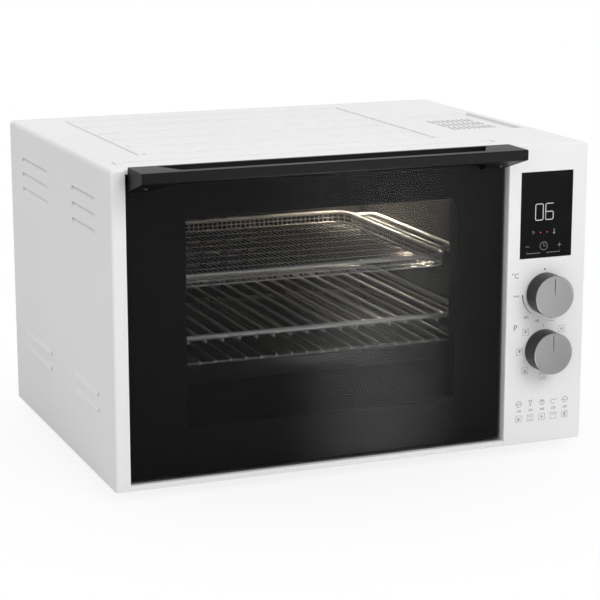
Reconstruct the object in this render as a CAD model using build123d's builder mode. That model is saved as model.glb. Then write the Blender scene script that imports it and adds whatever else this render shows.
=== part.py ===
from build123d import *
import math
import os

os.makedirs("parts", exist_ok=True)

# Overall size of the oven's body, in millimetres
body_width = 560.0
body_depth = 418.0
body_height = 346.0
sheet = 1.0
foot_height = 12.0
foot_diameter = 26.0
foot_inset_side = 45.0
foot_inset_front = 60.0
rear_spacer_reach = 15.0
handle_reach = 48.0

# Front: stile on the left, door in the middle, control panel on the right
stile_width = 16.0
panel_width = 99.0
top_rail_height = 4.5
sill_height = 6.0
sill_lip_depth = 6.0
sill_low_height = 3.0
corner_radius = 5.0
edge_radius = 3.0
seam_gap = 0.2

# Door
door_side_gap = 2.0
door_top_gap = 1.0
door_bottom_height = 8.0
door_recess = 7.0
outer_glass_thickness = 4.0
inner_glass_thickness = 4.0
door_frame_depth = 21.0
door_frame_inset = 4.0
door_post_width = 10.0
door_wall = 2.0
window_left = 66.5
window_right = 57.0
window_bottom = 52.0
window_top = 50.5
inner_glass_gap = 0.5
hinge_axis_depth = 15.0
hinge_axis_height = 15.0
hinge_pin_radius = 2.5
hinge_clearance = 0.05
press_clearance = 0.02
stay_radius = 100.0
stay_width = 6.0
stay_thickness = 3.0
stay_slot_clearance = 1.0
stay_inset = 2.0

# Handle
handle_top = 348.8
handle_front_height = 11.0
handle_foot_height = 28.0
handle_bar_depth = 11.0
handle_back_depth = 5.0
handle_end_inset = 0.8
slot_back_inset = 30.0
slot_front_inset = 47.0
handle_back_clearance = 1.0

# Oven cavity
cavity_width = 413.0
cavity_height = 275.0
cavity_floor = 37.0
cavity_front = 38.0
cavity_depth = 334.0
seal_width = 5.0
seal_clearance = 0.3
guide_depth = 8.0
guide_height = 4.0

# Shelves
shelf_side_clearance = 1.0
shelf_seat_gap = 0.3
shelf_front = 52.0
shelf_depth = 290.0
rack_height = 148.0
rack_rod_radius = 3.0
rack_wire_radius = 1.75
rack_wire_pitch = 20.0
rack_wires = 19
rack_corner_radius = 34.0
tray_rim_height = 116.0
tray_tub_depth = 24.0
tray_sheet = 1.0
tray_rim_width = 12.0
grid_rod_radius = 2.0
grid_wire_radius = 1.5
grid_wire_pitch = 18.0
grid_wires = 21
basket_rim_height = 220.0
basket_wall_height = 16.0
basket_side_inset = 32.0
basket_depth = 300.0
basket_wall = 1.6
basket_rod_radius = 2.5
basket_corner_radius = 24.0
net_pitch_x = 16.5
net_pitch_y = 18.5
net_bar = 3.0
hanger_front = 38.0
hanger_back = 30.0
hanger_bend = 10.0

# Heating elements
heater_radius = 3.25
heater_bend = 25.0
top_heater_height = 296.0
bottom_heater_height = 27.0

# Fan
fan_cover_width = 283.0
fan_cover_height = 182.0
fan_cover_bottom = 88.0
fan_cover_depth = 14.0
fan_radius = 62.0
fan_centre_height = 176.0
fan_shaft_radius = 3.0
fan_shaft_clearance = 0.05
motor_radius = 28.0
motor_length = 24.0

# Control panel
panel_sheet = 2.0
panel_edge = 0.8
panel_return = 36.0
knob_from_right = 50.6
upper_knob_height = 176.0
lower_knob_height = 110.0
knob_radius = 23.8
knob_length = 23.0
knob_cap_thickness = 1.5
knob_panel_gap = 1.5
knob_wall = 2.0
control_shaft_radius = 3.0
control_shaft_clearance = 0.05
display_left = 196.6
display_width = 65.4
display_bottom = 217.0
display_height = 98.3
display_corner = 3.0
display_clearance = 0.2
bracket_depth = 9.0
bracket_sheet = 1.5

# Lamp
lamp_depth = 318.0
lamp_height = 262.0
lamp_radius = 16.0

# Places worked out from the sizes above
total_depth = handle_reach + body_depth + rear_spacer_reach
front_y = handle_reach - total_depth / 2
left_x = -body_width / 2
right_x = body_width / 2
opening_left = left_x + stile_width
opening_right = right_x - panel_width
opening_centre = (opening_left + opening_right) / 2
opening_top = body_height - top_rail_height
door_left = opening_left + door_side_gap
door_right = opening_right - door_side_gap
door_top = opening_top - door_top_gap
cavity_left = opening_centre - cavity_width / 2
cavity_right = opening_centre + cavity_width / 2
cavity_top = cavity_floor + cavity_height
cavity_back = cavity_front + cavity_depth
door_frame_front = door_recess + outer_glass_thickness
door_frame_back = door_frame_front + door_frame_depth
frame_left = door_left + door_frame_inset
frame_right = door_right - door_frame_inset
frame_bottom = door_bottom_height + door_frame_inset - 1.0
frame_top = door_top - door_frame_inset
knob_x = right_x - knob_from_right
rear_sheet_front = body_depth - sheet
divider_x = opening_right + 5.0
shelf_left = cavity_left + shelf_side_clearance
shelf_right = cavity_right - shelf_side_clearance


def at_depth(depth):
    """Row y for a distance behind the body's front face."""
    return front_y + depth


def at_height(height):
    """Row z for a distance above the body's underside."""
    return foot_height + height


def block(x0, x1, d0, d1, h0, h1, mode=Mode.ADD):
    """A straight block between two x, two depths and two heights."""
    with Locations(((x0 + x1) / 2, at_depth((d0 + d1) / 2), at_height((h0 + h1) / 2))):
        Box(x1 - x0, d1 - d0, h1 - h0, mode=mode)


def bar_x(x0, x1, depth, height, radius, mode=Mode.ADD):
    """A round bar along x."""
    with Locations(((x0 + x1) / 2, at_depth(depth), at_height(height))):
        Cylinder(radius, x1 - x0, rotation=(0, 90, 0), mode=mode)


def bar_y(x, d0, d1, height, radius, mode=Mode.ADD):
    """A round bar running from front to back."""
    with Locations((x, at_depth((d0 + d1) / 2), at_height(height))):
        Cylinder(radius, d1 - d0, rotation=(90, 0, 0), mode=mode)


def bar_z(x, depth, h0, h1, radius, mode=Mode.ADD):
    """An upright round bar."""
    with Locations((x, at_depth(depth), at_height((h0 + h1) / 2))):
        Cylinder(radius, h1 - h0, mode=mode)


def bent_rod(points, bend, radius, closed=False):
    """A round rod along straight runs with tangent bends."""
    with BuildLine() as path:
        FilletPolyline(*points, radius=bend, close=closed)
    with BuildSketch(Plane(origin=path.line @ 0, z_dir=path.line % 0)) as section:
        Circle(radius)
    sweep(section.sketch, path=path.line)


def finish(builder, label):
    """Names a piece and writes it."""
    builder.part.label = label
    export_step(builder.part, "parts/" + label + ".step")


# Outer shell: top, both sides and the narrow front flanges that frame the door
louvre_length_back = 114.0
louvre_length_front = 90.6
louvre_groups = [(58.8, louvre_length_front), (250.1, louvre_length_back)]
upper_louvre_heights = [307.8, 290.2, 272.5]
lower_louvre_heights = [95.0, 77.0]
louvre_slit = 1.7
louvre_press = 2.2
louvre_drop = 5.0
louvre_end = 1.2
hood_opening = 4.5
hood_reach = 2.0
hood_sheet = 0.9
bead_width = 6.0
bead_height = 1.2
bead_depths = [95.0, 153.0, 211.0, 267.0, 324.0, 376.0]
bead_left = opening_centre - 171.5
bead_right = opening_centre + 170.5
border_left = bead_left - 5.0
border_right = bead_right + 6.0
step_depth = 50.0
vent_left = opening_right - 5.0
vent_right = right_x - 13.0
vent_front = 131.0
vent_back = 276.0
vent_sink = 3.0
vent_slot_length = 24.0
vent_slot_width = 2.6
vent_slot_pitch = 6.6


def bead_along_x(x0, x1, depth):
    """A pressed ridge across the top: raised outside, hollow beneath."""
    base = body_height - sheet
    crest = body_height + bead_height
    block(x0, x1, depth - bead_width / 2, depth + bead_width / 2, base, crest)
    inner = bead_width / 2 - sheet
    block(x0 + sheet, x1 - sheet, depth - inner, depth + inner, base, crest - sheet, Mode.SUBTRACT)


def bead_along_y(x, d0, d1):
    """A pressed ridge from front to back."""
    base = body_height - sheet
    crest = body_height + bead_height
    block(x - bead_width / 2, x + bead_width / 2, d0, d1, base, crest)
    inner = bead_width / 2 - sheet
    block(x - inner, x + inner, d0 + sheet, d1 - sheet, base, crest - sheet, Mode.SUBTRACT)


def louvre_prism(points, start, length, mode=Mode.ADD):
    """Pulls a closed outline of (x, height) points back from a depth."""
    with BuildSketch(Plane.XZ.offset(-at_depth(start))) as outline:
        with BuildLine():
            Polyline(*[(x, at_height(height)) for x, height in points], close=True)
        make_face()
    extrude(outline.sketch, amount=-length, mode=mode)


def louvre(side, start, length, height):
    """A slit in a side sheet over a strip that is pressed inwards below it."""
    face = side * body_width / 2
    inner = face - side * louvre_press
    back_face = face - side * sheet
    slit_top = height + louvre_slit / 2
    slit_low = height - louvre_slit / 2
    foot = height - louvre_drop
    outside = face + side
    beyond = back_face - side
    window = [(outside, foot), (outside, slit_top), (beyond, slit_top), (beyond, foot)]
    louvre_prism(window, start, length, Mode.SUBTRACT)
    strip_back = inner - side * sheet
    strip = [(face, foot), (inner, slit_low), (strip_back, slit_low), (back_face, foot - 1)]
    louvre_prism(strip, start, length)
    cheek = [(face, foot), (face, slit_top), (back_face, slit_top)]
    cheek += [(strip_back, slit_low), (back_face, foot - 1)]
    louvre_prism(cheek, start, louvre_end)
    louvre_prism(cheek, start + length - louvre_end, louvre_end)


def hood(side, start, length, height):
    """A slit in a side sheet under a hood that leans outwards and opens downwards."""
    face = side * body_width / 2
    back_face = face - side * sheet
    beyond = back_face - side
    low = height - hood_opening / 2
    high = height + hood_opening / 2 + 1.5
    lip = face + side * (hood_reach - hood_sheet)
    tip = face + side * hood_reach
    shape = [(back_face, high), (face, high), (tip, low), (lip, low), (back_face, high - 1.2)]
    louvre_prism(shape, start, length)
    gap = [(lip, low - 0.5), (beyond, low - 0.5), (beyond, high - 1.3), (back_face, high - 1.2), (lip, low)]
    louvre_prism(gap, start + louvre_end, length - 2 * louvre_end, Mode.SUBTRACT)


with BuildPart() as outer_shell:
    with BuildSketch(Plane.XZ.offset(-at_depth(0))):
        with Locations((0, at_height(body_height / 2))):
            Rectangle(body_width, body_height)
        fillet(vertices().group_by(Axis.Y)[-1], corner_radius)
    extrude(amount=-rear_sheet_front)
    fillet(faces().sort_by(Axis.Y)[0].edges().filter_by(Axis.Z).sort_by(Axis.X)[0], edge_radius)
    inner_radius = corner_radius - sheet
    with BuildSketch(Plane.XZ.offset(-at_depth(sheet))):
        with Locations((0, at_height(body_height / 2 - sheet / 2))):
            Rectangle(body_width - 2 * sheet, body_height - sheet)
        fillet(vertices().group_by(Axis.Y)[-1], inner_radius)
    extrude(amount=-rear_sheet_front, mode=Mode.SUBTRACT)
    block(opening_left, right_x, -1, sheet + 0.1, -1, opening_top, Mode.SUBTRACT)
    block(opening_right + seam_gap, right_x + 1, -1, panel_sheet, -1, body_height + 1, Mode.SUBTRACT)
    for bead_depth in bead_depths:
        bead_along_x(bead_left, bead_right, bead_depth)
    for border_x in (border_left, border_right):
        bead_along_y(border_x, bead_depths[0] - 4, bead_depths[-1] + 2)
    bead_along_x(opening_left + 5, opening_right + 3, step_depth)
    for step_x in (opening_left + 5, opening_right + 3):
        bead_along_y(step_x, step_depth - 14, step_depth + 2)
    pan_low = body_height - sheet - vent_sink
    pan_top = body_height + 1
    block(vent_left, vent_right, vent_front, vent_back, body_height - sheet - 1, pan_top, Mode.SUBTRACT)
    block(vent_left - sheet, vent_right + sheet, vent_front - sheet, vent_back + sheet, pan_low, body_height)
    block(vent_left, vent_right, vent_front, vent_back, body_height - vent_sink, pan_top, Mode.SUBTRACT)
    vent_x = (vent_left + vent_right) / 2
    vent_y = at_depth((vent_front + vent_back) / 2)
    with BuildSketch(Plane.XY.offset(at_height(body_height - sheet - vent_sink - 1))):
        with Locations((vent_x, vent_y)):
            with GridLocations(vent_slot_pitch, vent_slot_length + 5, 9, 3):
                SlotOverall(vent_slot_length, vent_slot_width, rotation=90)
    extrude(amount=sheet + 2, mode=Mode.SUBTRACT)
    for louvre_side in (-1, 1):
        for louvre_start, louvre_length in louvre_groups:
            for louvre_height in upper_louvre_heights:
                louvre(louvre_side, louvre_start, louvre_length, louvre_height)
            for hood_height in lower_louvre_heights:
                hood(louvre_side, louvre_start, louvre_length, hood_height)
finish(outer_shell, "outer_shell")

# Base plate with rows of air slots, carrying the feet
foot_places = []
for foot_side in (-1, 1):
    for foot_depth in (foot_inset_front, body_depth - foot_inset_front):
        foot_places.append((foot_side * (body_width / 2 - foot_inset_side), at_depth(foot_depth)))
base_left = left_x + sheet
base_right = right_x - sheet
foot_bolt_radius = 2.5
foot_hole_clearance = 0.1
base_slot_length = 40.0
base_slot_width = 6.0
base_slot_pitch = 60.0
base_row_pitch = 34.0
base_front = sill_lip_depth + 8
base_flange = 10.0
with BuildPart() as base_plate:
    block(base_left, base_right, base_front, rear_sheet_front, 0, sheet)
    block(base_left, opening_left, sheet, base_front, 0, sheet)
    block(opening_right + sheet, base_right, panel_sheet, base_front, 0, sheet)
    block(base_left, base_right, rear_sheet_front - sheet, rear_sheet_front, sheet, sheet + base_flange)
    with BuildSketch(Plane.XY.offset(at_height(-1))):
        with Locations((opening_centre, at_depth(body_depth / 2))):
            with GridLocations(base_slot_pitch, base_row_pitch, 6, 5):
                SlotOverall(base_slot_length, base_slot_width)
    extrude(amount=sheet + 2, mode=Mode.SUBTRACT)
    with BuildSketch(Plane.XY.offset(at_height(-1))):
        with Locations(*foot_places):
            Circle(foot_bolt_radius + foot_hole_clearance)
    extrude(amount=sheet + 2, mode=Mode.SUBTRACT)
finish(base_plate, "base_plate")

# Rubber feet, each a turned pad with a recess for its screw head
foot_recess_radius = 6.0
foot_recess_depth = 5.0
with BuildPart() as feet:
    for place in foot_places:
        with BuildSketch(Plane.XY):
            with Locations(place):
                Circle(foot_diameter / 2 - 2)
        with BuildSketch(Plane.XY.offset(foot_height)):
            with Locations(place):
                Circle(foot_diameter / 2)
        loft()
    with Locations(*[(p[0], p[1], foot_recess_depth / 2) for p in foot_places]):
        Cylinder(foot_recess_radius, foot_recess_depth, mode=Mode.SUBTRACT)
    with Locations(*[(p[0], p[1], foot_height / 2) for p in foot_places]):
        Cylinder(foot_bolt_radius + foot_hole_clearance, foot_height, mode=Mode.SUBTRACT)
finish(feet, "feet")

# Foot screws, head down in the pad's recess
with BuildPart() as foot_screws:
    for place in foot_places:
        with BuildSketch(Plane.XY.offset(foot_recess_depth - 2.5)):
            with Locations(place):
                Circle(4.5)
        extrude(amount=2.5)
        with BuildSketch(Plane.XY.offset(foot_recess_depth)):
            with Locations(place):
                Circle(foot_bolt_radius)
        extrude(amount=foot_height + sheet + 4 - foot_recess_depth)
finish(foot_screws, "foot_screws")

# Rear panel with air slots, motor bulge opening and cord hole
gland_x = right_x - 45.0
gland_height = 40.0
gland_hole_radius = 9.0
rear_screw_radius = 2.0
screw_hole_clearance = 0.05
rear_screw_places = []
for screw_x in (left_x + 14, 0.0, right_x - 14):
    for screw_height in (body_height - 14, 20.0):
        rear_screw_places.append((screw_x, at_height(screw_height)))
with BuildPart() as rear_panel:
    with BuildSketch(Plane.XZ.offset(-at_depth(rear_sheet_front))):
        with Locations((0, at_height(body_height / 2))):
            Rectangle(body_width, body_height)
        fillet(vertices().group_by(Axis.Y)[-1], corner_radius)
        with Locations((opening_centre, at_height(fan_centre_height))):
            with GridLocations(30, 9, 5, 8):
                SlotOverall(24, 4, mode=Mode.SUBTRACT)
        with Locations(((opening_right + right_x) / 2, at_height(body_height - 90))):
            with GridLocations(30, 9, 2, 8):
                SlotOverall(24, 4, mode=Mode.SUBTRACT)
        with Locations((gland_x, at_height(gland_height))):
            Circle(gland_hole_radius, mode=Mode.SUBTRACT)
        with Locations(*rear_screw_places):
            Circle(rear_screw_radius + screw_hole_clearance, mode=Mode.SUBTRACT)
    extrude(amount=-sheet)
finish(rear_panel, "rear_panel")

# Screws of the rear panel
with BuildPart() as rear_screws:
    with BuildSketch(Plane.XZ.offset(-at_depth(body_depth))):
        with Locations(*rear_screw_places):
            Circle(4)
    extrude(amount=-2)
    with BuildSketch(Plane.XZ.offset(-at_depth(body_depth))):
        with Locations(*rear_screw_places):
            Circle(rear_screw_radius)
    extrude(amount=8)
finish(rear_screws, "rear_screws")

# Two rear spacers keep the oven off a wall
with BuildPart() as rear_spacers:
    for spacer_x in (left_x + 90, right_x - 90):
        with BuildSketch(Plane.XZ.offset(-at_depth(body_depth))):
            with Locations((spacer_x, at_height(body_height - 40))):
                RectangleRounded(26, 26, 4)
        extrude(amount=-rear_spacer_reach, taper=12)
finish(rear_spacers, "rear_spacers")

# Cord inlet gland in the rear panel
with BuildPart() as cord_gland:
    bar_y(gland_x, body_depth, body_depth + 9, gland_height, gland_hole_radius + 3)
    bar_y(gland_x, rear_sheet_front - 6, body_depth + 9, gland_height, gland_hole_radius - 0.1)
    bar_y(gland_x, rear_sheet_front - 7, body_depth + 10, gland_height, 4.0, Mode.SUBTRACT)
finish(cord_gland, "cord_gland")

# Door surround: the recess walls round the door
recess_wall = 1.0
recess_left = opening_left - recess_wall
recess_right = opening_right
surround_back = cavity_front
with BuildPart() as door_surround:
    surround_top = opening_top + recess_wall
    wall_right = opening_right + recess_wall
    block(recess_left, opening_left, sheet, surround_back, sill_low_height, surround_top)
    block(recess_left, opening_right, sheet, surround_back, opening_top, surround_top)
    block(opening_right, wall_right, panel_sheet, surround_back, sill_low_height, surround_top)
    pin_hole = hinge_pin_radius + 1.0
    bar_x(recess_left - 1, opening_left + 1, hinge_axis_depth, hinge_axis_height, pin_hole, Mode.SUBTRACT)
    bar_x(opening_right - 1, wall_right + 1, hinge_axis_depth, hinge_axis_height, pin_hole, Mode.SUBTRACT)
finish(door_surround, "door_surround")

# Sill under the door
with BuildPart() as door_sill:
    block(opening_left, opening_right, 0, sill_lip_depth, 0, sill_height)
    lip_back = sill_lip_depth - sheet
    block(opening_left, opening_right, sheet, lip_back, -1, sill_height - sheet, Mode.SUBTRACT)
    block(opening_left, opening_right, lip_back, surround_back, sill_low_height - sheet, sill_low_height)
    fillet(edges().filter_by(Axis.X).group_by(Axis.Z)[-1].sort_by(Axis.Y)[0], panel_edge)
finish(door_sill, "door_sill")

# Cavity liner with shelf guides, front flange and holes for what passes through
flange_left = opening_left
flange_right = opening_right
rail_levels = [
    tray_rim_height - tray_sheet - shelf_seat_gap,
    rack_height - rack_rod_radius - shelf_seat_gap,
    basket_rim_height - 2 * basket_rod_radius - shelf_seat_gap,
]
stay_x_left = frame_left + stay_inset
stay_x_right = frame_right - stay_inset
stay_slot_height = hinge_axis_height + math.sqrt(stay_radius**2 - (cavity_front - hinge_axis_depth) ** 2)
heater_hole_radius = heater_radius + 0.8
heater_leg_depths = [90.0, 330.0]
guide_front = cavity_front + 12.0
guide_back = cavity_back - 20.0
liner_corner = 6.0
with BuildPart() as cavity_liner:
    with BuildSketch(Plane.XZ.offset(-at_depth(cavity_front))):
        with Locations((opening_centre, at_height(cavity_floor + cavity_height / 2))):
            RectangleRounded(cavity_width + 2 * sheet, cavity_height + 2 * sheet, liner_corner + sheet)
    extrude(amount=-(cavity_depth + sheet))
    with BuildSketch(Plane.XZ.offset(-at_depth(cavity_front))):
        with Locations((opening_centre, at_height(cavity_floor + cavity_height / 2))):
            RectangleRounded(cavity_width, cavity_height, liner_corner)
    extrude(amount=-cavity_depth, mode=Mode.SUBTRACT)
    with BuildSketch(Plane.XZ.offset(-at_depth(cavity_front))):
        with Locations((opening_centre, at_height((sill_low_height + opening_top) / 2))):
            Rectangle(flange_right - flange_left, opening_top - sill_low_height)
        with Locations((opening_centre, at_height(cavity_floor + cavity_height / 2))):
            RectangleRounded(cavity_width, cavity_height, liner_corner, mode=Mode.SUBTRACT)
        for stay_x in (stay_x_left, stay_x_right):
            with Locations((stay_x, at_height(stay_slot_height))):
                Rectangle(stay_thickness + 2 * stay_slot_clearance, stay_width + 14, mode=Mode.SUBTRACT)
    extrude(amount=-sheet)
    for level in rail_levels:
        for side_x, inward in ((cavity_left, 1), (cavity_right, -1)):
            rail_a = side_x - inward * sheet / 2
            rail_b = side_x + inward * guide_depth
            low_x, high_x = min(rail_a, rail_b), max(rail_a, rail_b)
            block(low_x, high_x, guide_front, guide_back, level - guide_height, level)
    shaft_hole = fan_shaft_radius + 5
    bar_y(opening_centre, cavity_back - 1, cavity_back + 3, fan_centre_height, shaft_hole, Mode.SUBTRACT)
    wall_x0 = cavity_right - 1
    wall_x1 = cavity_right + 3
    bar_x(wall_x0, wall_x1, lamp_depth, lamp_height, lamp_radius, Mode.SUBTRACT)
    for leg_depth in heater_leg_depths:
        bar_x(wall_x0, wall_x1, leg_depth, top_heater_height, heater_hole_radius, Mode.SUBTRACT)
finish(cavity_liner, "cavity_liner")

# Silicone seal round the cavity mouth, facing the door's inner face
seal_front = door_frame_back + seal_clearance
seal_corner = 12.0
seal_edge = 1.2
with BuildPart() as door_seal:
    with BuildSketch(Plane.XZ.offset(-at_depth(seal_front))):
        with Locations((opening_centre, at_height(cavity_floor + cavity_height / 2))):
            RectangleRounded(cavity_width + 2 * seal_width, cavity_height + 2 * seal_width, seal_corner)
            RectangleRounded(cavity_width, cavity_height, liner_corner, mode=Mode.SUBTRACT)
    extrude(amount=-(cavity_front - seal_front))
    fillet(faces().sort_by(Axis.Y)[0].edges(), seal_edge)
finish(door_seal, "door_seal")

# Sheet that parts the hot side from the control side
divider_front = surround_back + 4
divider_foot = 14.0
with BuildPart() as control_divider:
    divider_back = rear_sheet_front - 4
    divider_high = body_height - 2 * sheet - vent_sink
    block(divider_x, divider_x + sheet, divider_front, divider_back, sheet, divider_high)
    block(divider_x, divider_x + divider_foot, divider_front, divider_back, sheet, 2 * sheet)
    hole_x0 = divider_x - 1
    hole_x1 = divider_x + 3
    for leg_depth in heater_leg_depths:
        bar_x(hole_x0, hole_x1, leg_depth, top_heater_height, heater_hole_radius, Mode.SUBTRACT)
        bar_x(hole_x0, hole_x1, leg_depth, bottom_heater_height, heater_hole_radius, Mode.SUBTRACT)
    bar_x(hole_x0, hole_x1, lamp_depth, lamp_height, lamp_radius + 4, Mode.SUBTRACT)
finish(control_divider, "control_divider")

# Mineral wool wrap over the cavity's top and sides
wool = 9.0
wool_gap = 0.5
wool_front = cavity_front + 110.0
with BuildPart() as insulation_wrap:
    outer_left = cavity_left - sheet - wool_gap - wool
    outer_right = cavity_right + sheet + wool_gap + wool
    outer_top = cavity_top + sheet + wool_gap + wool
    block(outer_left, outer_right, wool_front, cavity_back - 4, cavity_floor, outer_top)
    inner_left = cavity_left - sheet - wool_gap
    inner_right = cavity_right + sheet + wool_gap
    inner_top = cavity_top + sheet + wool_gap
    block(inner_left, inner_right, wool_front - 1, cavity_back, cavity_floor - 1, inner_top, Mode.SUBTRACT)
    wool_x0 = inner_right - 1
    wool_x1 = outer_right + 1
    leg_hole = heater_hole_radius + 1
    bar_x(wool_x0, wool_x1, lamp_depth, lamp_height, lamp_radius + 5, Mode.SUBTRACT)
    bar_x(wool_x0, wool_x1, heater_leg_depths[1], top_heater_height, leg_hole, Mode.SUBTRACT)
finish(insulation_wrap, "insulation_wrap")


# Heating elements: a sheathed rod bent into a long loop, its ends through the right wall
def heating_element(height, ends_x, near_x, far_x):
    """A bent rod that enters at the front leg, snakes across and leaves at the back leg."""
    front_leg, back_leg = heater_leg_depths
    third = (back_leg - front_leg) / 3
    z = at_height(height)
    points = [
        (ends_x, at_depth(front_leg), z),
        (far_x, at_depth(front_leg), z),
        (far_x, at_depth(front_leg + third), z),
        (near_x, at_depth(front_leg + third), z),
        (near_x, at_depth(back_leg - third), z),
        (far_x, at_depth(back_leg - third), z),
        (far_x, at_depth(back_leg), z),
        (ends_x, at_depth(back_leg), z),
    ]
    bent_rod(points, heater_bend, heater_radius)


heater_end_x = divider_x + 18
heater_near_x = cavity_right - 45
heater_far_x = cavity_left + 30
with BuildPart() as top_heater:
    heating_element(top_heater_height, heater_end_x, heater_near_x, heater_far_x)
finish(top_heater, "top_heater")

with BuildPart() as bottom_heater:
    heating_element(bottom_heater_height, heater_end_x, heater_near_x, heater_far_x)
finish(bottom_heater, "bottom_heater")

# Brackets that hang the top element from the ceiling and clamp the lower one under the floor
bracket_gap = 0.1
clamp_width = 12.0
clamp_length = 16.0
rod_hole = heater_radius + bracket_gap
with BuildPart() as heater_brackets:
    for bracket_x in (cavity_left + 110, opening_centre + 60):
        strip_x0 = bracket_x - clamp_width / 2
        strip_x1 = bracket_x + clamp_width / 2
        strip_d0 = heater_leg_depths[0] - 10
        strip_d1 = heater_leg_depths[1] + 10
        floor_under = cavity_floor - sheet
        block(strip_x0, strip_x1, strip_d0, strip_d1, cavity_top - sheet, cavity_top)
        block(strip_x0, strip_x1, strip_d0, strip_d1, floor_under - sheet, floor_under)
        for leg_depth in heater_leg_depths:
            clamp_d0 = leg_depth - clamp_length / 2
            clamp_d1 = leg_depth + clamp_length / 2
            block(strip_x0, strip_x1, clamp_d0, clamp_d1, top_heater_height - 7, cavity_top)
            block(strip_x0, strip_x1, clamp_d0, clamp_d1, bottom_heater_height - 6, floor_under)
            for rod_height in (top_heater_height, bottom_heater_height):
                bar_x(strip_x0 - 1, strip_x1 + 1, leg_depth, rod_height, rod_hole, Mode.SUBTRACT)
finish(heater_brackets, "heater_brackets")

# Ceramic end bushes of both elements, in the dividing sheet
bush_length = 8.0
bush_radius = 8.0
with BuildPart() as heater_bushes:
    for leg_depth in heater_leg_depths:
        for leg_height in (top_heater_height, bottom_heater_height):
            bush_x = divider_x + sheet
            bar_x(bush_x, bush_x + bush_length, leg_depth, leg_height, bush_radius)
            bar_x(bush_x - 1, bush_x + bush_length + 1, leg_depth, leg_height, rod_hole, Mode.SUBTRACT)
finish(heater_bushes, "heater_bushes")

# Slotted fan cover on the cavity's back wall
cover_front = cavity_back - fan_cover_depth
cover_x = opening_centre
cover_corner = 22.0
cover_slot_length = 24.0
cover_slot_width = 4.2
with BuildPart() as fan_cover:
    cover_centre = at_height(fan_cover_bottom + fan_cover_height / 2)
    with BuildSketch(Plane.XZ.offset(-at_depth(cover_front))):
        with Locations((cover_x, cover_centre)):
            RectangleRounded(fan_cover_width, fan_cover_height, cover_corner)
    extrude(amount=-fan_cover_depth)
    with BuildSketch(Plane.XZ.offset(-at_depth(cover_front + sheet))):
        with Locations((cover_x, cover_centre)):
            RectangleRounded(fan_cover_width - 2 * sheet, fan_cover_height - 2 * sheet, cover_corner - sheet)
    extrude(amount=-fan_cover_depth, mode=Mode.SUBTRACT)
    with BuildSketch(Plane.XZ.offset(-at_depth(cover_front - 1))):
        with Locations((cover_x, at_height(fan_centre_height))):
            with GridLocations(28, 14, 5, 7):
                SlotOverall(cover_slot_length - 4, cover_slot_width)
        for row_height in (13, 30):
            with Locations((cover_x, at_height(fan_cover_bottom + row_height))):
                with GridLocations(32, 60, 8, 1):
                    SlotOverall(cover_slot_length, cover_slot_width)
    extrude(amount=-(sheet + 2), mode=Mode.SUBTRACT)
finish(fan_cover, "fan_cover")

# Convection fan: a hub with bent blades on a thin disc
fan_front = cover_front + sheet + 2.0
fan_back = cavity_back - 2.0
blade_count = 8
blade_sheet = 1.2
blade_pitch_angle = 14.0
hub_radius = 9.0
with BuildPart() as fan_blade:
    bar_y(cover_x, fan_back - 1.0, fan_back, fan_centre_height, fan_radius)
    bar_y(cover_x, fan_front, fan_back, fan_centre_height, hub_radius)
    for blade in range(blade_count):
        angle = blade * 360 / blade_count
        blade_mid = fan_radius * 0.62
        blade_x = cover_x + blade_mid * math.cos(math.radians(angle))
        blade_z = at_height(fan_centre_height) + blade_mid * math.sin(math.radians(angle))
        blade_turn = blade_pitch_angle - angle
        with Locations((blade_x, at_depth((fan_front + fan_back) / 2), blade_z)):
            Box(fan_radius * 0.7, fan_back - fan_front, blade_sheet, rotation=(0, blade_turn, 0))
    hub_bore = fan_shaft_radius + press_clearance
    bar_y(cover_x, fan_front - 1, fan_back + 1, fan_centre_height, hub_bore, Mode.SUBTRACT)
finish(fan_blade, "fan_blade")

# Fan motor behind the back wall, its shaft and the bracket that carries it
motor_front = cavity_back + sheet + 8.0
motor_back = motor_front + motor_length
with BuildPart() as fan_motor:
    bar_y(cover_x, motor_front, motor_back, fan_centre_height, motor_radius)
    bar_y(cover_x, motor_front - 4, motor_front, fan_centre_height, hub_radius)
    motor_bore = fan_shaft_radius + fan_shaft_clearance
    bar_y(cover_x, motor_front - 5, motor_back - 6, fan_centre_height, motor_bore, Mode.SUBTRACT)
finish(fan_motor, "fan_motor")

with BuildPart() as fan_shaft:
    bar_y(cover_x, fan_front - 0.5, motor_back - 7, fan_centre_height, fan_shaft_radius)
finish(fan_shaft, "fan_shaft")

with BuildPart() as motor_bracket:
    half = motor_radius + 16
    band_low = fan_centre_height - 11
    band_high = fan_centre_height + 11
    block(cover_x - half, cover_x + half, motor_front - sheet, motor_front, band_low, band_high)
    for leg_side in (-1, 1):
        leg_a = cover_x + leg_side * half
        leg_b = cover_x + leg_side * (half - 12)
        low_x, high_x = min(leg_a, leg_b), max(leg_a, leg_b)
        block(low_x, high_x, cavity_back + sheet, motor_front, band_low, band_high)
    bar_y(cover_x, motor_front - 3, motor_front + 1, fan_centre_height, hub_radius + 0.1, Mode.SUBTRACT)
finish(motor_bracket, "motor_bracket")

# Oven lamp: holder in the control side, bulb, and glass dome in the cavity wall
with BuildPart() as lamp_holder:
    bar_x(cavity_right + sheet, cavity_right + sheet + 3, lamp_depth, lamp_height, lamp_radius + 3)
    bar_x(cavity_right + sheet, divider_x + 12, lamp_depth, lamp_height, lamp_radius - 1)
    bar_x(cavity_right, divider_x + 6, lamp_depth, lamp_height, lamp_radius - 3, Mode.SUBTRACT)
finish(lamp_holder, "lamp_holder")

with BuildPart() as lamp_bulb:
    bar_x(cavity_right + 2, divider_x + 6, lamp_depth, lamp_height, 7)
    with Locations((cavity_right + 2, at_depth(lamp_depth), at_height(lamp_height))):
        Sphere(7)
finish(lamp_bulb, "lamp_bulb")

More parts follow.
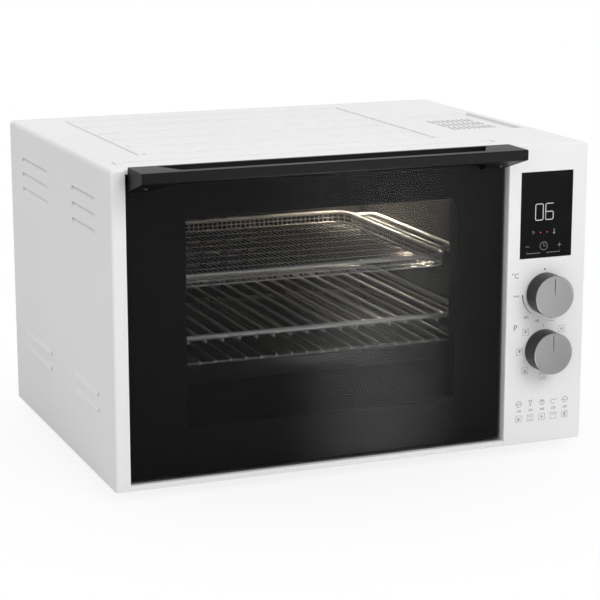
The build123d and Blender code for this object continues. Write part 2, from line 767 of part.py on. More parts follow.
lens_reach = 13.0
lens_gap = 0.3
with BuildPart() as lamp_lens:
    axis_z = at_height(lamp_height)
    rim_z = axis_z + lamp_radius - lens_gap
    dome_tip = (cavity_right - lens_reach, axis_z)
    dome_side = (cavity_right - lens_reach * 0.72, axis_z + lamp_radius * 0.64)
    dome_rim = (cavity_right, rim_z)
    with BuildSketch(Plane.XZ.offset(-at_depth(lamp_depth))):
        with BuildLine():
            Line((cavity_right + sheet, axis_z), dome_tip)
            ThreePointArc(dome_tip, dome_side, dome_rim)
            Line(dome_rim, (cavity_right + sheet, rim_z))
            Line((cavity_right + sheet, rim_z), (cavity_right + sheet, axis_z))
        make_face()
    revolve(axis=Axis((0, at_depth(lamp_depth), at_height(lamp_height)), (1, 0, 0)))
    bar_x(cavity_right - 2, cavity_right + sheet + 1, lamp_depth, lamp_height, lamp_radius - 4, Mode.SUBTRACT)
    with Locations((cavity_right - 2, at_depth(lamp_depth), at_height(lamp_height))):
        Sphere(9.2, mode=Mode.SUBTRACT)
finish(lamp_lens, "lamp_lens")

# Wire rack: a perimeter rod and front-to-back wires welded under it
rack_back = shelf_front + shelf_depth
wire_drop = rack_rod_radius + rack_wire_radius - 0.4
with BuildPart() as wire_rack:
    rod_left = shelf_left + rack_rod_radius
    rod_right = shelf_right - rack_rod_radius
    rack_z = at_height(rack_height)
    rack_points = [
        (rod_right, at_depth(rack_back), rack_z),
        (rod_right, at_depth(shelf_front), rack_z),
        (rod_left, at_depth(shelf_front), rack_z),
        (rod_left, at_depth(rack_back), rack_z),
    ]
    bent_rod(rack_points, rack_corner_radius, rack_rod_radius, closed=True)
    first_wire = opening_centre - rack_wire_pitch * (rack_wires - 1) / 2
    for wire in range(rack_wires):
        wire_x = first_wire + wire * rack_wire_pitch
        bar_y(wire_x, shelf_front - 3, rack_back + 1, rack_height - wire_drop, rack_wire_radius)
finish(wire_rack, "wire_rack")

# Baking tray: rim, sloping tub and rolled lip
with BuildPart() as baking_tray:
    tray_back = shelf_front + shelf_depth
    tray_mid = at_depth((shelf_front + tray_back) / 2)
    rim_x = shelf_right - shelf_left
    rim_z = at_height(tray_rim_height)
    with BuildSketch(Plane.XY.offset(rim_z - tray_sheet)):
        with Locations((opening_centre, tray_mid)):
            RectangleRounded(rim_x, shelf_depth, 16)
    extrude(amount=tray_sheet)
    tub_x = rim_x - 2 * tray_rim_width
    tub_y = shelf_depth - 2 * tray_rim_width
    with BuildSketch(Plane.XY.offset(rim_z)):
        with Locations((opening_centre, tray_mid)):
            RectangleRounded(tub_x, tub_y, 14)
    extrude(amount=-tray_tub_depth, taper=12)
    with BuildSketch(Plane.XY.offset(rim_z + 0.01)):
        with Locations((opening_centre, tray_mid)):
            RectangleRounded(tub_x - 2 * tray_sheet, tub_y - 2 * tray_sheet, 13)
    extrude(amount=-(tray_tub_depth - tray_sheet), taper=12, mode=Mode.SUBTRACT)
finish(baking_tray, "baking_tray")

# Roasting grid that lies on the tray's rim
with BuildPart() as roasting_grid:
    grid_z = at_height(tray_rim_height + grid_rod_radius + 0.1)
    grid_left = shelf_left + 8
    grid_right = shelf_right - 8
    grid_front = shelf_front + 3
    grid_back = rack_back - 6
    grid_points = [
        (grid_right, at_depth(grid_back), grid_z),
        (grid_right, at_depth(grid_front), grid_z),
        (grid_left, at_depth(grid_front), grid_z),
        (grid_left, at_depth(grid_back), grid_z),
    ]
    bent_rod(grid_points, 18.0, grid_rod_radius, closed=True)
    first_wire = opening_centre - grid_wire_pitch * (grid_wires - 1) / 2
    for wire in range(grid_wires):
        wire_x = first_wire + wire * grid_wire_pitch
        wire_height = tray_rim_height + 2 * grid_rod_radius + grid_wire_radius - 0.4
        bar_y(wire_x, grid_front - 4, grid_back + 2, wire_height, grid_wire_radius)
finish(roasting_grid, "roasting_grid")

# Air-fry basket: a shallow net tub under a rim rod, with a hanger bar on each side
with BuildPart() as fry_basket:
    basket_left = cavity_left + basket_side_inset
    basket_right = cavity_right - basket_side_inset
    basket_back = shelf_front + basket_depth
    basket_x = basket_right - basket_left
    basket_mid = at_depth((shelf_front + basket_back) / 2)
    rim_z = at_height(basket_rim_height - basket_rod_radius)
    floor_z = at_height(basket_rim_height - basket_wall_height)
    with BuildSketch(Plane.XY.offset(floor_z)):
        with Locations((opening_centre, basket_mid)):
            RectangleRounded(basket_x, basket_depth, basket_corner_radius)
    extrude(amount=basket_wall_height - basket_rod_radius)
    with BuildSketch(Plane.XY.offset(floor_z + basket_wall)):
        inner_x = basket_x - 2 * basket_wall
        inner_y = basket_depth - 2 * basket_wall
        with Locations((opening_centre, basket_mid)):
            RectangleRounded(inner_x, inner_y, basket_corner_radius - basket_wall)
    extrude(amount=basket_wall_height, mode=Mode.SUBTRACT)
    with BuildSketch(Plane.XY.offset(floor_z - 1)):
        with Locations((opening_centre, basket_mid)):
            with GridLocations(net_pitch_x, net_pitch_y, 19, 15):
                Rectangle(net_pitch_x - net_bar, net_pitch_y - net_bar)
    extrude(amount=basket_wall + 2, mode=Mode.SUBTRACT)
    rim_points = [
        (basket_right, at_depth(basket_back), rim_z),
        (basket_right, at_depth(shelf_front), rim_z),
        (basket_left, at_depth(shelf_front), rim_z),
        (basket_left, at_depth(basket_back), rim_z),
    ]
    bent_rod(rim_points, basket_corner_radius, basket_rod_radius, closed=True)
    for hanger_side in (-1, 1):
        tub_edge = opening_centre + hanger_side * basket_x / 2
        rail_reach = cavity_width / 2 - shelf_side_clearance - basket_rod_radius
        rail_edge = opening_centre + hanger_side * rail_reach
        hanger_points = [
            (tub_edge, at_depth(shelf_front + hanger_front), rim_z),
            (rail_edge, at_depth(shelf_front + hanger_front), rim_z),
            (rail_edge, at_depth(basket_back - hanger_back), rim_z),
            (tub_edge, at_depth(basket_back - hanger_back), rim_z),
        ]
        bent_rod(hanger_points, hanger_bend, basket_rod_radius)
finish(fry_basket, "fry_basket")

# Door: outer glass with holes for the handle screws
handle_screw_radius = 2.5
handle_screw_inset = 16.0
handle_screw_height = door_top - 12.0
handle_screw_xs = [door_left + handle_screw_inset, door_right - handle_screw_inset]
with BuildPart() as outer_glass:
    block(door_left, door_right, door_recess, door_frame_front, door_bottom_height, door_top)
    for screw_x in handle_screw_xs:
        glass_hole = handle_screw_radius + 1
        bar_y(screw_x, door_recess - 1, door_frame_front + 1, handle_screw_height, glass_hole, Mode.SUBTRACT)
finish(outer_glass, "outer_glass")

# Door frame: outer walls, side posts, mid plate round the window and the window duct
window_x0 = door_left + window_left
window_x1 = door_right - window_right
window_h0 = door_bottom_height + window_bottom
window_h1 = door_top - window_top
mid_plate_back = door_frame_back - inner_glass_thickness
mid_plate_front = mid_plate_back - door_wall
pocket_inset = 12.0
screw_relief_depth = 7.0
screw_relief_height = 22.0
with BuildPart() as door_frame:
    block(frame_left, frame_right, door_frame_front, door_frame_back, frame_bottom, frame_top)
    post_x0 = frame_left + door_post_width
    post_x1 = frame_right - door_post_width
    wall_h0 = frame_bottom + door_wall
    wall_h1 = frame_top - door_wall
    block(post_x0, post_x1, door_frame_front - 1, mid_plate_front, wall_h0, wall_h1, Mode.SUBTRACT)
    pocket_h0 = frame_bottom + pocket_inset
    pocket_h1 = frame_top - pocket_inset
    block(post_x0, post_x1, mid_plate_back, door_frame_back + 1, pocket_h0, pocket_h1, Mode.SUBTRACT)
    duct_x0 = window_x0 - door_wall
    duct_x1 = window_x1 + door_wall
    duct_h0 = window_h0 - door_wall
    duct_h1 = window_h1 + door_wall
    block(duct_x0, duct_x1, door_frame_front, mid_plate_front, duct_h0, duct_h1)
    block(window_x0, window_x1, door_frame_front - 1, mid_plate_back + 1, window_h0, window_h1, Mode.SUBTRACT)
    relief_back = door_frame_front + screw_relief_depth
    relief_low = frame_top - screw_relief_height
    for post_a, post_b in ((frame_left, post_x0), (post_x1, frame_right)):
        block(post_a, post_b, door_frame_front - 1, relief_back, relief_low, frame_top + 1, Mode.SUBTRACT)
        pin_bore = hinge_pin_radius + press_clearance
        bar_x(post_a - 1, post_b + 1, hinge_axis_depth, hinge_axis_height, pin_bore, Mode.SUBTRACT)
finish(door_frame, "door_frame")

# Inner glass, lying on the mid plate inside the frame's back pocket
clip_sheet = 0.6
inner_left = frame_left + door_post_width + inner_glass_gap
inner_right = frame_right - door_post_width - inner_glass_gap
inner_bottom = frame_bottom + pocket_inset + inner_glass_gap
inner_high = frame_top - pocket_inset - inner_glass_gap
with BuildPart() as inner_glass:
    block(inner_left, inner_right, mid_plate_back, door_frame_back - clip_sheet, inner_bottom, inner_high)
finish(inner_glass, "inner_glass")

# Clips that hold the inner glass at its top and bottom edges
clip_width = 22.0
clip_reach = 6.0
clip_low_reach = 1.5
clip_overhang = 0.4
with BuildPart() as glass_clips:
    for clip_x in (inner_left + 60, inner_right - 60):
        clip_x0 = clip_x - clip_width / 2
        clip_x1 = clip_x + clip_width / 2
        clip_front = door_frame_back - clip_sheet
        clip_high = inner_high + clip_overhang
        clip_low = inner_bottom - clip_overhang
        block(clip_x0, clip_x1, clip_front, door_frame_back, inner_high - clip_reach, clip_high)
        block(clip_x0, clip_x1, clip_front, door_frame_back, clip_low, inner_bottom + clip_low_reach)
finish(glass_clips, "glass_clips")

# Handle: wedge-ended grip with a long finger slot behind its bar
handle_left = door_left + handle_end_inset
handle_right = door_right - handle_end_inset
handle_low = handle_top - handle_foot_height
back_top = opening_top - 1.5
rib_height = 14.0
handle_chamfer = 1.0
with BuildPart() as door_handle:
    with BuildSketch(Plane.YZ.offset(handle_left)):
        with BuildLine():
            Polyline(
                (at_depth(-handle_back_clearance), at_height(handle_top)),
                (at_depth(-handle_reach), at_height(handle_top)),
                (at_depth(-handle_reach), at_height(handle_top - handle_front_height)),
                (at_depth(door_recess), at_height(handle_low)),
                (at_depth(door_recess), at_height(back_top)),
                (at_depth(-handle_back_clearance), at_height(back_top)),
                close=True,
            )
        make_face()
    extrude(amount=handle_right - handle_left)
    with BuildSketch(Plane.XY.offset(at_height(handle_low - 5))):
        with BuildLine():
            Polyline(
                (handle_left + slot_back_inset, at_depth(-handle_back_clearance - handle_back_depth)),
                (handle_right - slot_back_inset, at_depth(-handle_back_clearance - handle_back_depth)),
                (handle_right - slot_front_inset, at_depth(-handle_reach + handle_bar_depth)),
                (handle_left + slot_front_inset, at_depth(-handle_reach + handle_bar_depth)),
                close=True,
            )
        make_face()
    extrude(amount=60, mode=Mode.SUBTRACT)
    slot_x0 = handle_left + slot_back_inset
    slot_x1 = handle_right - slot_back_inset
    rib_front = -handle_back_clearance - handle_back_depth - 1
    rib_low = handle_top - rib_height
    block(slot_x0, slot_x1, rib_front, door_recess + 1, handle_low - 1, rib_low, Mode.SUBTRACT)
    for screw_x in handle_screw_xs:
        screw_bore = handle_screw_radius + screw_hole_clearance
        bar_y(screw_x, -16, door_recess + 1, handle_screw_height, screw_bore, Mode.SUBTRACT)
    chamfer(edges().filter_by(Axis.X).group_by(Axis.Y)[0], handle_chamfer)
finish(door_handle, "door_handle")

with BuildPart() as handle_screws:
    for screw_x in handle_screw_xs:
        bar_y(screw_x, -14, door_frame_front, handle_screw_height, handle_screw_radius)
        bar_y(screw_x, door_frame_front, door_frame_front + 3, handle_screw_height, 4.5)
finish(handle_screws, "handle_screws")

# Hinges: pins in the door frame, brackets behind the surround, curved stays into the flange
bracket_plate = 4.0
with BuildPart() as hinge_pins:
    left_pin = (recess_left - bracket_plate - 1, frame_left + door_post_width - 0.5)
    right_pin = (frame_right - door_post_width + 0.5, opening_right + recess_wall + bracket_plate + 1)
    for pin_x0, pin_x1 in (left_pin, right_pin):
        bar_x(pin_x0, pin_x1, hinge_axis_depth, hinge_axis_height, hinge_pin_radius)
finish(hinge_pins, "hinge_pins")

bracket_spans = {
    "hinge_bracket_left": (recess_left - bracket_plate, recess_left),
    "hinge_bracket_right": (opening_right + recess_wall, opening_right + recess_wall + bracket_plate),
}
for bracket_name, (bracket_x0, bracket_x1) in bracket_spans.items():
    with BuildPart() as hinge_bracket:
        block(bracket_x0, bracket_x1, panel_sheet + 3, surround_back, sill_low_height, hinge_axis_height + 22)
        pin_bore = hinge_pin_radius + hinge_clearance
        bar_x(bracket_x0 - 1, bracket_x1 + 1, hinge_axis_depth, hinge_axis_height, pin_bore, Mode.SUBTRACT)
    finish(hinge_bracket, bracket_name)

stay_start = math.degrees(math.asin((door_frame_back - hinge_axis_depth) / stay_radius))
stay_end = 97.0
stay_foot_thickness = 2.0
stay_foot_length = 28.0
stay_places = {"door_stay_left": stay_x_left, "door_stay_right": stay_x_right}
for stay_name, stay_x in stay_places.items():
    with BuildPart() as door_stay:
        with BuildSketch(Plane.YZ.offset(stay_x - stay_thickness / 2)):
            with Locations((at_depth(hinge_axis_depth), at_height(hinge_axis_height))):
                Circle(stay_radius + stay_width / 2)
                Circle(stay_radius - stay_width / 2, mode=Mode.SUBTRACT)
            low_z = at_height(hinge_axis_height) + stay_radius * math.cos(math.radians(stay_end))
            far_y = at_depth(hinge_axis_depth) + stay_radius * 2
            near_y = at_depth(door_frame_back)
            high_z = at_height(hinge_axis_height) + stay_radius * 2
            with Locations(((near_y + far_y) / 2, (low_z + high_z) / 2)):
                Rectangle(far_y - near_y, high_z - low_z, mode=Mode.INTERSECT)
        extrude(amount=stay_thickness)
        foot_z = hinge_axis_height + stay_radius * math.cos(math.radians(stay_start))
        stay_x0 = stay_x - stay_thickness / 2
        foot_back = door_frame_back + stay_foot_thickness
        foot_h0 = foot_z - stay_foot_length / 2
        foot_h1 = foot_h0 + stay_foot_length
        block(stay_x0, stay_x0 + stay_thickness, door_frame_back, foot_back, foot_h0, foot_h1)
    finish(door_stay, stay_name)

# Control panel: front sheet with its returns, display cut-out and shaft holes
panel_hole_radius = control_shaft_radius + 2.5
return_inset = 12.0
side_return = 14.0
with BuildPart() as control_panel:
    with BuildSketch(Plane.XZ.offset(-at_depth(0))):
        with Locations(((opening_right + right_x) / 2 + seam_gap / 2, at_height(body_height / 2))):
            Rectangle(panel_width - seam_gap, body_height)
        fillet(vertices().group_by(Axis.X)[-1], corner_radius)
    extrude(amount=-panel_sheet)
    fillet(faces().sort_by(Axis.Y)[0].edges(), panel_edge)
    inner_return = opening_right + recess_wall + bracket_plate + 1
    block(inner_return, inner_return + 1, panel_sheet, panel_return, 40, body_height - return_inset)
    block(right_x - 3, right_x - 2, panel_sheet, side_return, return_inset, body_height - return_inset)
    cut_x0 = display_left - display_clearance
    cut_x1 = display_left + display_width + display_clearance
    cut_h0 = display_bottom - display_clearance
    cut_h1 = display_bottom + display_height + display_clearance
    block(cut_x0, cut_x1, -1, panel_sheet + 1, cut_h0, cut_h1, Mode.SUBTRACT)
    for knob_height in (upper_knob_height, lower_knob_height):
        bar_y(knob_x, -1, panel_sheet + 1, knob_height, panel_hole_radius, Mode.SUBTRACT)
finish(control_panel, "control_panel")

# Black glass over the display, with a flange behind the panel sheet
window_lip = 4.0
with BuildPart() as display_window:
    display_x = display_left + display_width / 2
    display_z = at_height(display_bottom + display_height / 2)
    with BuildSketch(Plane.XZ.offset(-at_depth(0))):
        with Locations((display_x, display_z)):
            RectangleRounded(display_width, display_height, display_corner)
    extrude(amount=-(panel_sheet + 1))
    lip_x0 = display_left - window_lip
    lip_x1 = display_left + display_width + window_lip
    lip_h0 = display_bottom - window_lip
    lip_h1 = display_bottom + display_height + window_lip
    block(lip_x0, lip_x1, panel_sheet, panel_sheet + 1, lip_h0, lip_h1)
finish(display_window, "display_window")

# Bracket behind the panel that carries the display board and both rotary controls
bracket_left = opening_right + recess_wall + bracket_plate + 3
bracket_right = right_x - 5
neck_radius = 5.0
neck_clearance = 0.1
bracket_low = 60.0
bracket_high = body_height - 20.0
with BuildPart() as control_bracket:
    bracket_back = bracket_depth + bracket_sheet
    block(bracket_left, bracket_right, bracket_depth, bracket_back, bracket_low, bracket_high)
    block(bracket_left, bracket_left + bracket_sheet, bracket_depth, panel_return, bracket_low, bracket_high)
    for knob_height in (upper_knob_height, lower_knob_height):
        neck_bore = neck_radius + neck_clearance
        bar_y(knob_x, bracket_depth - 1, bracket_back + 1, knob_height, neck_bore, Mode.SUBTRACT)
    hatch_x0 = display_left + 8
    hatch_x1 = display_left + display_width - 8
    hatch_h0 = display_bottom + 10
    hatch_h1 = display_bottom + display_height - 10
    block(hatch_x0, hatch_x1, bracket_depth - 1, bracket_back + 1, hatch_h0, hatch_h1, Mode.SUBTRACT)
finish(control_bracket, "control_bracket")

board_depth = bracket_depth - 1.6
with BuildPart() as display_board:
    board_x0 = display_left - 2
    board_x1 = display_left + display_width + 2
    board_h1 = display_bottom + display_height + 2
    block(board_x0, board_x1, board_depth, bracket_depth, display_bottom - 2, board_h1)
    digits_front = panel_sheet + 1.2
    block(board_x0 + 16, board_x1 - 16, digits_front, board_depth, display_bottom + 38, display_bottom + 68)
finish(display_board, "display_board")

with BuildPart() as touch_pads:
    for pad_x in (display_left + 10, display_left + display_width / 2, display_left + display_width - 12):
        block(pad_x - 5, pad_x + 5, panel_sheet + 1, board_depth, display_bottom + 7, display_bottom + 19)
finish(touch_pads, "touch_pads")

# Rotary controls: housing with a neck, turning shaft, knob and brushed cap
control_back = bracket_depth + bracket_sheet
shaft_front = -knob_panel_gap - knob_length + 9
shaft_back = control_back + 14
housing_width = 34.0
housing_height = 36.0
tab_pitch = 9.0
tab_length = 7.0
tab_sheet = 0.8
mark_width = 1.2
mark_depth = 0.4
controls = {
    "temperature": ("thermostat", upper_knob_height, 34.0),
    "function": ("function_switch", lower_knob_height, 26.0),
}
for control_name, (housing_name, control_height, housing_length) in controls.items():
    with BuildPart() as housing:
        housing_back = control_back + housing_length
        housing_x0 = knob_x - housing_width / 2
        housing_h0 = control_height - housing_height / 2
        block(
            housing_x0,
            housing_x0 + housing_width,
            control_back,
            housing_back,
            housing_h0,
            housing_h0 + housing_height,
        )
        bar_y(knob_x, panel_sheet + 1, control_back, control_height, neck_radius)
        shaft_bore = control_shaft_radius + control_shaft_clearance
        bar_y(knob_x, panel_sheet, shaft_back + 1, control_height, shaft_bore, Mode.SUBTRACT)
        for tab in (-1, 0, 1):
            tab_x = knob_x + tab * tab_pitch
            tab_h0 = control_height + 6
            block(tab_x - 3, tab_x + 3, housing_back, housing_back + tab_length, tab_h0, tab_h0 + tab_sheet)
    finish(housing, housing_name)

    with BuildPart() as shaft:
        bar_y(knob_x, shaft_front, shaft_back, control_height, control_shaft_radius)
    finish(shaft, control_name + "_shaft")

    with BuildPart() as knob:
        knob_back = -knob_panel_gap
        knob_front = knob_back - knob_length + knob_cap_thickness
        bar_y(knob_x, knob_front, knob_back, control_height, knob_radius)
        knob_inside = knob_radius - knob_wall
        bar_y(knob_x, knob_front + knob_wall, knob_back + 1, control_height, knob_inside, Mode.SUBTRACT)
        bar_y(knob_x, knob_front + knob_wall - 0.1, knob_back, control_height, control_shaft_radius + 3)
        knob_bore = control_shaft_radius + press_clearance
        bar_y(knob_x, shaft_front, knob_back + 1, control_height, knob_bore, Mode.SUBTRACT)
    finish(knob, control_name + "_knob")

    with BuildPart() as knob_cap:
        bar_y(knob_x, knob_front - knob_cap_thickness, knob_front, control_height, knob_radius)
        chamfer(edges().filter_by(GeomType.CIRCLE).sort_by(Axis.Y)[0], 0.9)
        mark_x0 = knob_x - mark_width / 2
        cap_front = knob_front - knob_cap_thickness
        mark_high = control_height + knob_radius - 3
        mark_x1 = mark_x0 + mark_width
        mark_low = control_height + 2
        block(mark_x0, mark_x1, cap_front - 1, cap_front + mark_depth, mark_low, mark_high, Mode.SUBTRACT)
    finish(knob_cap, control_name + "_knob_cap")

# Thermostat feeler in the cavity, held in the right wall's back corner
feeler_radius = 2.5
feeler_drop = 8.0
feeler_from_wall = 12.0
feeler_clip_width = 6.0
feeler_clip_height = 3.0
with BuildPart() as thermostat_feeler:
    feeler_height = cavity_top - feeler_drop
    bar_y(cavity_right - feeler_from_wall, cavity_back - 92, cavity_back - 22, feeler_height, feeler_radius)
    for clip_depth in (cavity_back - 80, cavity_back - 34):
        clip_d0 = clip_depth - feeler_clip_width / 2
        clip_h0 = feeler_height - feeler_clip_height / 2
        block(
            cavity_right - feeler_from_wall - feeler_radius,
            cavity_right,
            clip_d0,
            clip_d0 + feeler_clip_width,
            clip_h0,
            clip_h0 + feeler_clip_height,
        )
finish(thermostat_feeler, "thermostat_feeler")

# Terminal block on the dividing sheet, next to the cord inlet
terminal_front = body_depth - 110.0
terminal_length = 50.0
terminal_width = 20.0
terminal_low = 60.0
terminal_height = 16.0
terminal_x = divider_x + sheet + terminal_width / 2
with BuildPart() as terminal_block:
    block(
        divider_x + sheet,
        divider_x + sheet + terminal_width,
        terminal_front,
        terminal_front + terminal_length,
        terminal_low,
        terminal_low + terminal_height,
    )
    for pole in (-1, 0, 1):
        pole_depth = terminal_front + terminal_length / 2 + pole * 15
        bar_z(terminal_x, pole_depth, terminal_low + 10, terminal_low + terminal_height + 1, 4, Mode.SUBTRACT)
finish(terminal_block, "terminal_block")

# Wiring loom between the terminal block and the rotary switch
loom_radius = 3.5
loom_low = terminal_low + terminal_height / 2
loom_high = lower_knob_height - 6.0
with BuildPart() as wiring_loom:
    loom_points = [
        (terminal_x, at_depth(terminal_front), at_height(loom_low)),
        (terminal_x, at_depth(200), at_height(loom_low)),
        (terminal_x + 12, at_depth(120), at_height(loom_low + 8)),
        (knob_x, at_depth(85), at_height(loom_high)),
        (knob_x, at_depth(control_back + controls["function"][2]), at_height(loom_high)),
    ]
    bent_rod(loom_points, 20.0, loom_radius)
finish(wiring_loom, "wiring_loom")
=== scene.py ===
import math
import bpy
import bmesh
import numpy as np
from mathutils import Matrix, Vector


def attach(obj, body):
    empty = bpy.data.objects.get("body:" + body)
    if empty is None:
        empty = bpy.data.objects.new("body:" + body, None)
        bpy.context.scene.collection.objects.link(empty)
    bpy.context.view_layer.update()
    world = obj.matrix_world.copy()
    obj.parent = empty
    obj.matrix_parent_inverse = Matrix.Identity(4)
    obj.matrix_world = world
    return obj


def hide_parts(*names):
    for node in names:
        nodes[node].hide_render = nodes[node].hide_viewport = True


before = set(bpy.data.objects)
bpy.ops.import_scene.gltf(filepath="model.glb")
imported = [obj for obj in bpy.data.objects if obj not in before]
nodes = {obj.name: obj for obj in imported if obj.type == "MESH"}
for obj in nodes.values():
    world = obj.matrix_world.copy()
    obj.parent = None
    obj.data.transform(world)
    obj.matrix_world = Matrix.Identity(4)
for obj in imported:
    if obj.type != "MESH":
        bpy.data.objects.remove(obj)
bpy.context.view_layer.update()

print("frame loaded:", len(nodes), "pieces")

# Places are given as x, depth behind the body's front face and height above its underside, all in mm
rowShift = np.array([0.0, -192.5, 12.0])
sharpAngle = math.radians(50)  # edges sharper than this stay crisp on a smooth piece


def toRow(points):
    # row point in metres = (x, depth - 192.5, height + 12) / 1000
    return (np.asarray(points, float) + rowShift) / 1000.0


# Mesh helpers: every shape is a grid of points worked out as whole arrays
def gridQuads(rows, columns, wrapRows=False, wrapColumns=False):
    # each face joins a grid point to its next neighbours along both directions
    rowStarts, columnStarts = np.arange(rows - (not wrapRows)), np.arange(columns - (not wrapColumns))
    r, c = np.meshgrid(rowStarts, columnStarts, indexing="ij")
    r2, c2 = (r + 1) % rows, (c + 1) % columns
    corners = [r * columns + c, r2 * columns + c, r2 * columns + c2, r * columns + c2]
    return np.stack(corners, -1).reshape(-1, 4)


def softCorners(corners, cut, steps=5, closed=False):
    # each corner becomes a parabola: (1-t)^2 * entry + 2t(1-t) * corner + t^2 * exit,
    # with entry and exit 'cut' away from the corner
    corners = np.asarray(corners, float)
    before, after = np.roll(corners, 1, 0), np.roll(corners, -1, 0)
    toBefore, toAfter = before - corners, after - corners
    toBefore /= np.linalg.norm(toBefore, axis=1, keepdims=True)
    toAfter /= np.linalg.norm(toAfter, axis=1, keepdims=True)
    t = np.linspace(0, 1, steps + 1)[None, :, None]
    entry, leave = corners + toBefore * cut, corners + toAfter * cut
    bend = (1 - t) ** 2 * entry[:, None] + 2 * t * (1 - t) * corners[:, None] + t ** 2 * leave[:, None]
    if closed:
        return bend.reshape(-1, 3)
    return np.concatenate([corners[:1], bend[1:-1].reshape(-1, 3), corners[-1:]])


def rodFaces(many, steps, sides, closed=False):
    # quads round every rod, counted on from rod to rod, and a cap at both ends of an open one
    starts = np.arange(many)[:, None] * steps * sides
    faces = (gridQuads(steps, sides, closed, True)[None] + starts[:, :, None]).reshape(-1, 4).tolist()
    if not closed:
        faces += (starts + np.arange(sides)).tolist()
        faces += (starts + (steps - 1) * sides + np.arange(sides)[::-1]).tolist()
    return faces


def rodArrays(path, radius, sides=8, closed=False):
    # one rod: point = path + radius * (cos a * across + sin a * raised), where across is square to the
    # path in the plane that the path lies in, and raised is square to both
    path = np.asarray(path, float)
    along = np.roll(path, -1, 0) - np.roll(path, 1, 0) if closed else np.gradient(path, axis=0)
    along /= np.linalg.norm(along, axis=1, keepdims=True)
    planeNormal = np.linalg.svd(path - path.mean(0), full_matrices=False)[2][-1]
    across = np.cross(along, planeNormal)
    across /= np.linalg.norm(across, axis=1, keepdims=True)
    raised = np.cross(across, along)
    a = np.arange(sides) * 2 * np.pi / sides
    ring = np.cos(a)[:, None] * across[:, None] + np.sin(a)[:, None] * raised[:, None]
    return (path[:, None] + radius * ring).reshape(-1, 3), rodFaces(1, len(path), sides, closed)


def rodRows(paths, radius, up, sides=6):
    # many open rods at once, each in a plane with the given normal:
    # point = path + radius * (cos a * across + sin a * up)
    many, steps = paths.shape[:2]
    along = np.gradient(paths, axis=1)
    along /= np.linalg.norm(along, axis=2, keepdims=True)
    up = np.asarray(up, float)
    across = np.cross(along, up)
    a = np.arange(sides) * 2 * np.pi / sides
    ring = np.cos(a)[:, None] * across[:, :, None] + np.sin(a)[:, None] * up
    return (paths[:, :, None] + radius * ring).reshape(-1, 3), rodFaces(many, steps, sides)


def joinArrays(*parts):
    # the points of all parts one after another, each part's faces counted on from where its points start
    points, faces, start = [], [], 0
    for partPoints, partFaces in parts:
        points.append(partPoints)
        faces += [[i + start for i in face] for face in partFaces]
        start += len(partPoints)
    return np.concatenate(points), faces


def turnedArrays(profile, centre, sides):
    # a profile of (radius, depth) pairs turned about the front-to-back line through the centre:
    # x = centre x + radius * cos a, height = centre height + radius * sin a; the profile closes on itself
    profile = np.asarray(profile, float)
    a = np.arange(sides) * 2 * np.pi / sides
    x = centre[0] + profile[:, :1] * np.cos(a)
    h = centre[1] + profile[:, :1] * np.sin(a)
    d = np.repeat(profile[:, 1:], sides, 1)
    return np.stack([x, d, h], -1).reshape(-1, 3), gridQuads(len(profile), sides, True, True).tolist()


def makePiece(name, arrays, finish, body, smooth=True):
    points, faces = arrays
    mesh = bpy.data.meshes.new(name)
    mesh.from_pydata(toRow(points).tolist(), [], faces)
    tidy = bmesh.new()
    tidy.from_mesh(mesh)
    bmesh.ops.recalc_face_normals(tidy, faces=tidy.faces)
    tidy.to_mesh(mesh)
    tidy.free()
    mesh.polygons.foreach_set("use_smooth", np.full(len(mesh.polygons), smooth))
    if smooth:
        mesh.set_sharp_from_angle(angle=sharpAngle)
    mesh.materials.append(finish)
    piece = bpy.data.objects.new(name, mesh)
    bpy.context.scene.collection.objects.link(piece)
    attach(piece, body)
    return piece


# Shader groups, built once and shared by the finishes
def newGroup(name, inputs, outputs):
    group = bpy.data.node_groups.new(name, "ShaderNodeTree")
    for label, kind, value in inputs:
        socket = group.interface.new_socket(name=label, in_out="INPUT", socket_type="NodeSocket" + kind)
        socket.default_value = value
    for label, kind in outputs:
        group.interface.new_socket(name=label, in_out="OUTPUT", socket_type="NodeSocket" + kind)
    return group, group.nodes.new("NodeGroupInput"), group.nodes.new("NodeGroupOutput")


def addNode(tree, kind, **settings):
    node = tree.nodes.new("ShaderNode" + kind)
    for key, value in settings.items():
        if key.startswith("in_"):
            node.inputs[key[3:].replace("_", " ")].default_value = value
        else:
            setattr(node, key, value)
    return node


def feed(tree, item, socket):
    # a number is set on the socket itself, anything else is linked to it
    if isinstance(item, (int, float)):
        socket.default_value = item
    else:
        tree.links.new(item, socket)


def addMath(tree, operation, first, second):
    step = addNode(tree, "Math", operation=operation)
    feed(tree, first, step.inputs[0])
    feed(tree, second, step.inputs[1])
    return step.outputs[0]


def addVectorMath(tree, operation, first, second=None):
    # LENGTH has one vector and gives a value, the others have two and give a vector
    step = addNode(tree, "VectorMath", operation=operation)
    tree.links.new(first, step.inputs[0])
    if isinstance(second, tuple):
        step.inputs[1].default_value = second
    elif second is not None:
        tree.links.new(second, step.inputs[1])
    return step.outputs["Value" if operation == "LENGTH" else "Vector"]


def addNoise(tree, vector, scale, detail, rough):
    noise = addNode(tree, "TexNoise", in_Detail=detail, in_Roughness=rough)
    tree.links.new(vector, noise.inputs["Vector"])
    feed(tree, scale, noise.inputs["Scale"])
    return noise.outputs["Fac"]


def addRange(tree, value, fromLow, fromHigh, toLow, toHigh):
    step = addNode(tree, "MapRange")
    labels = ("Value", "From Min", "From Max", "To Min", "To Max")
    for label, item in zip(labels, (value, fromLow, fromHigh, toLow, toHigh)):
        feed(tree, item, step.inputs[label])
    return step.outputs["Result"]


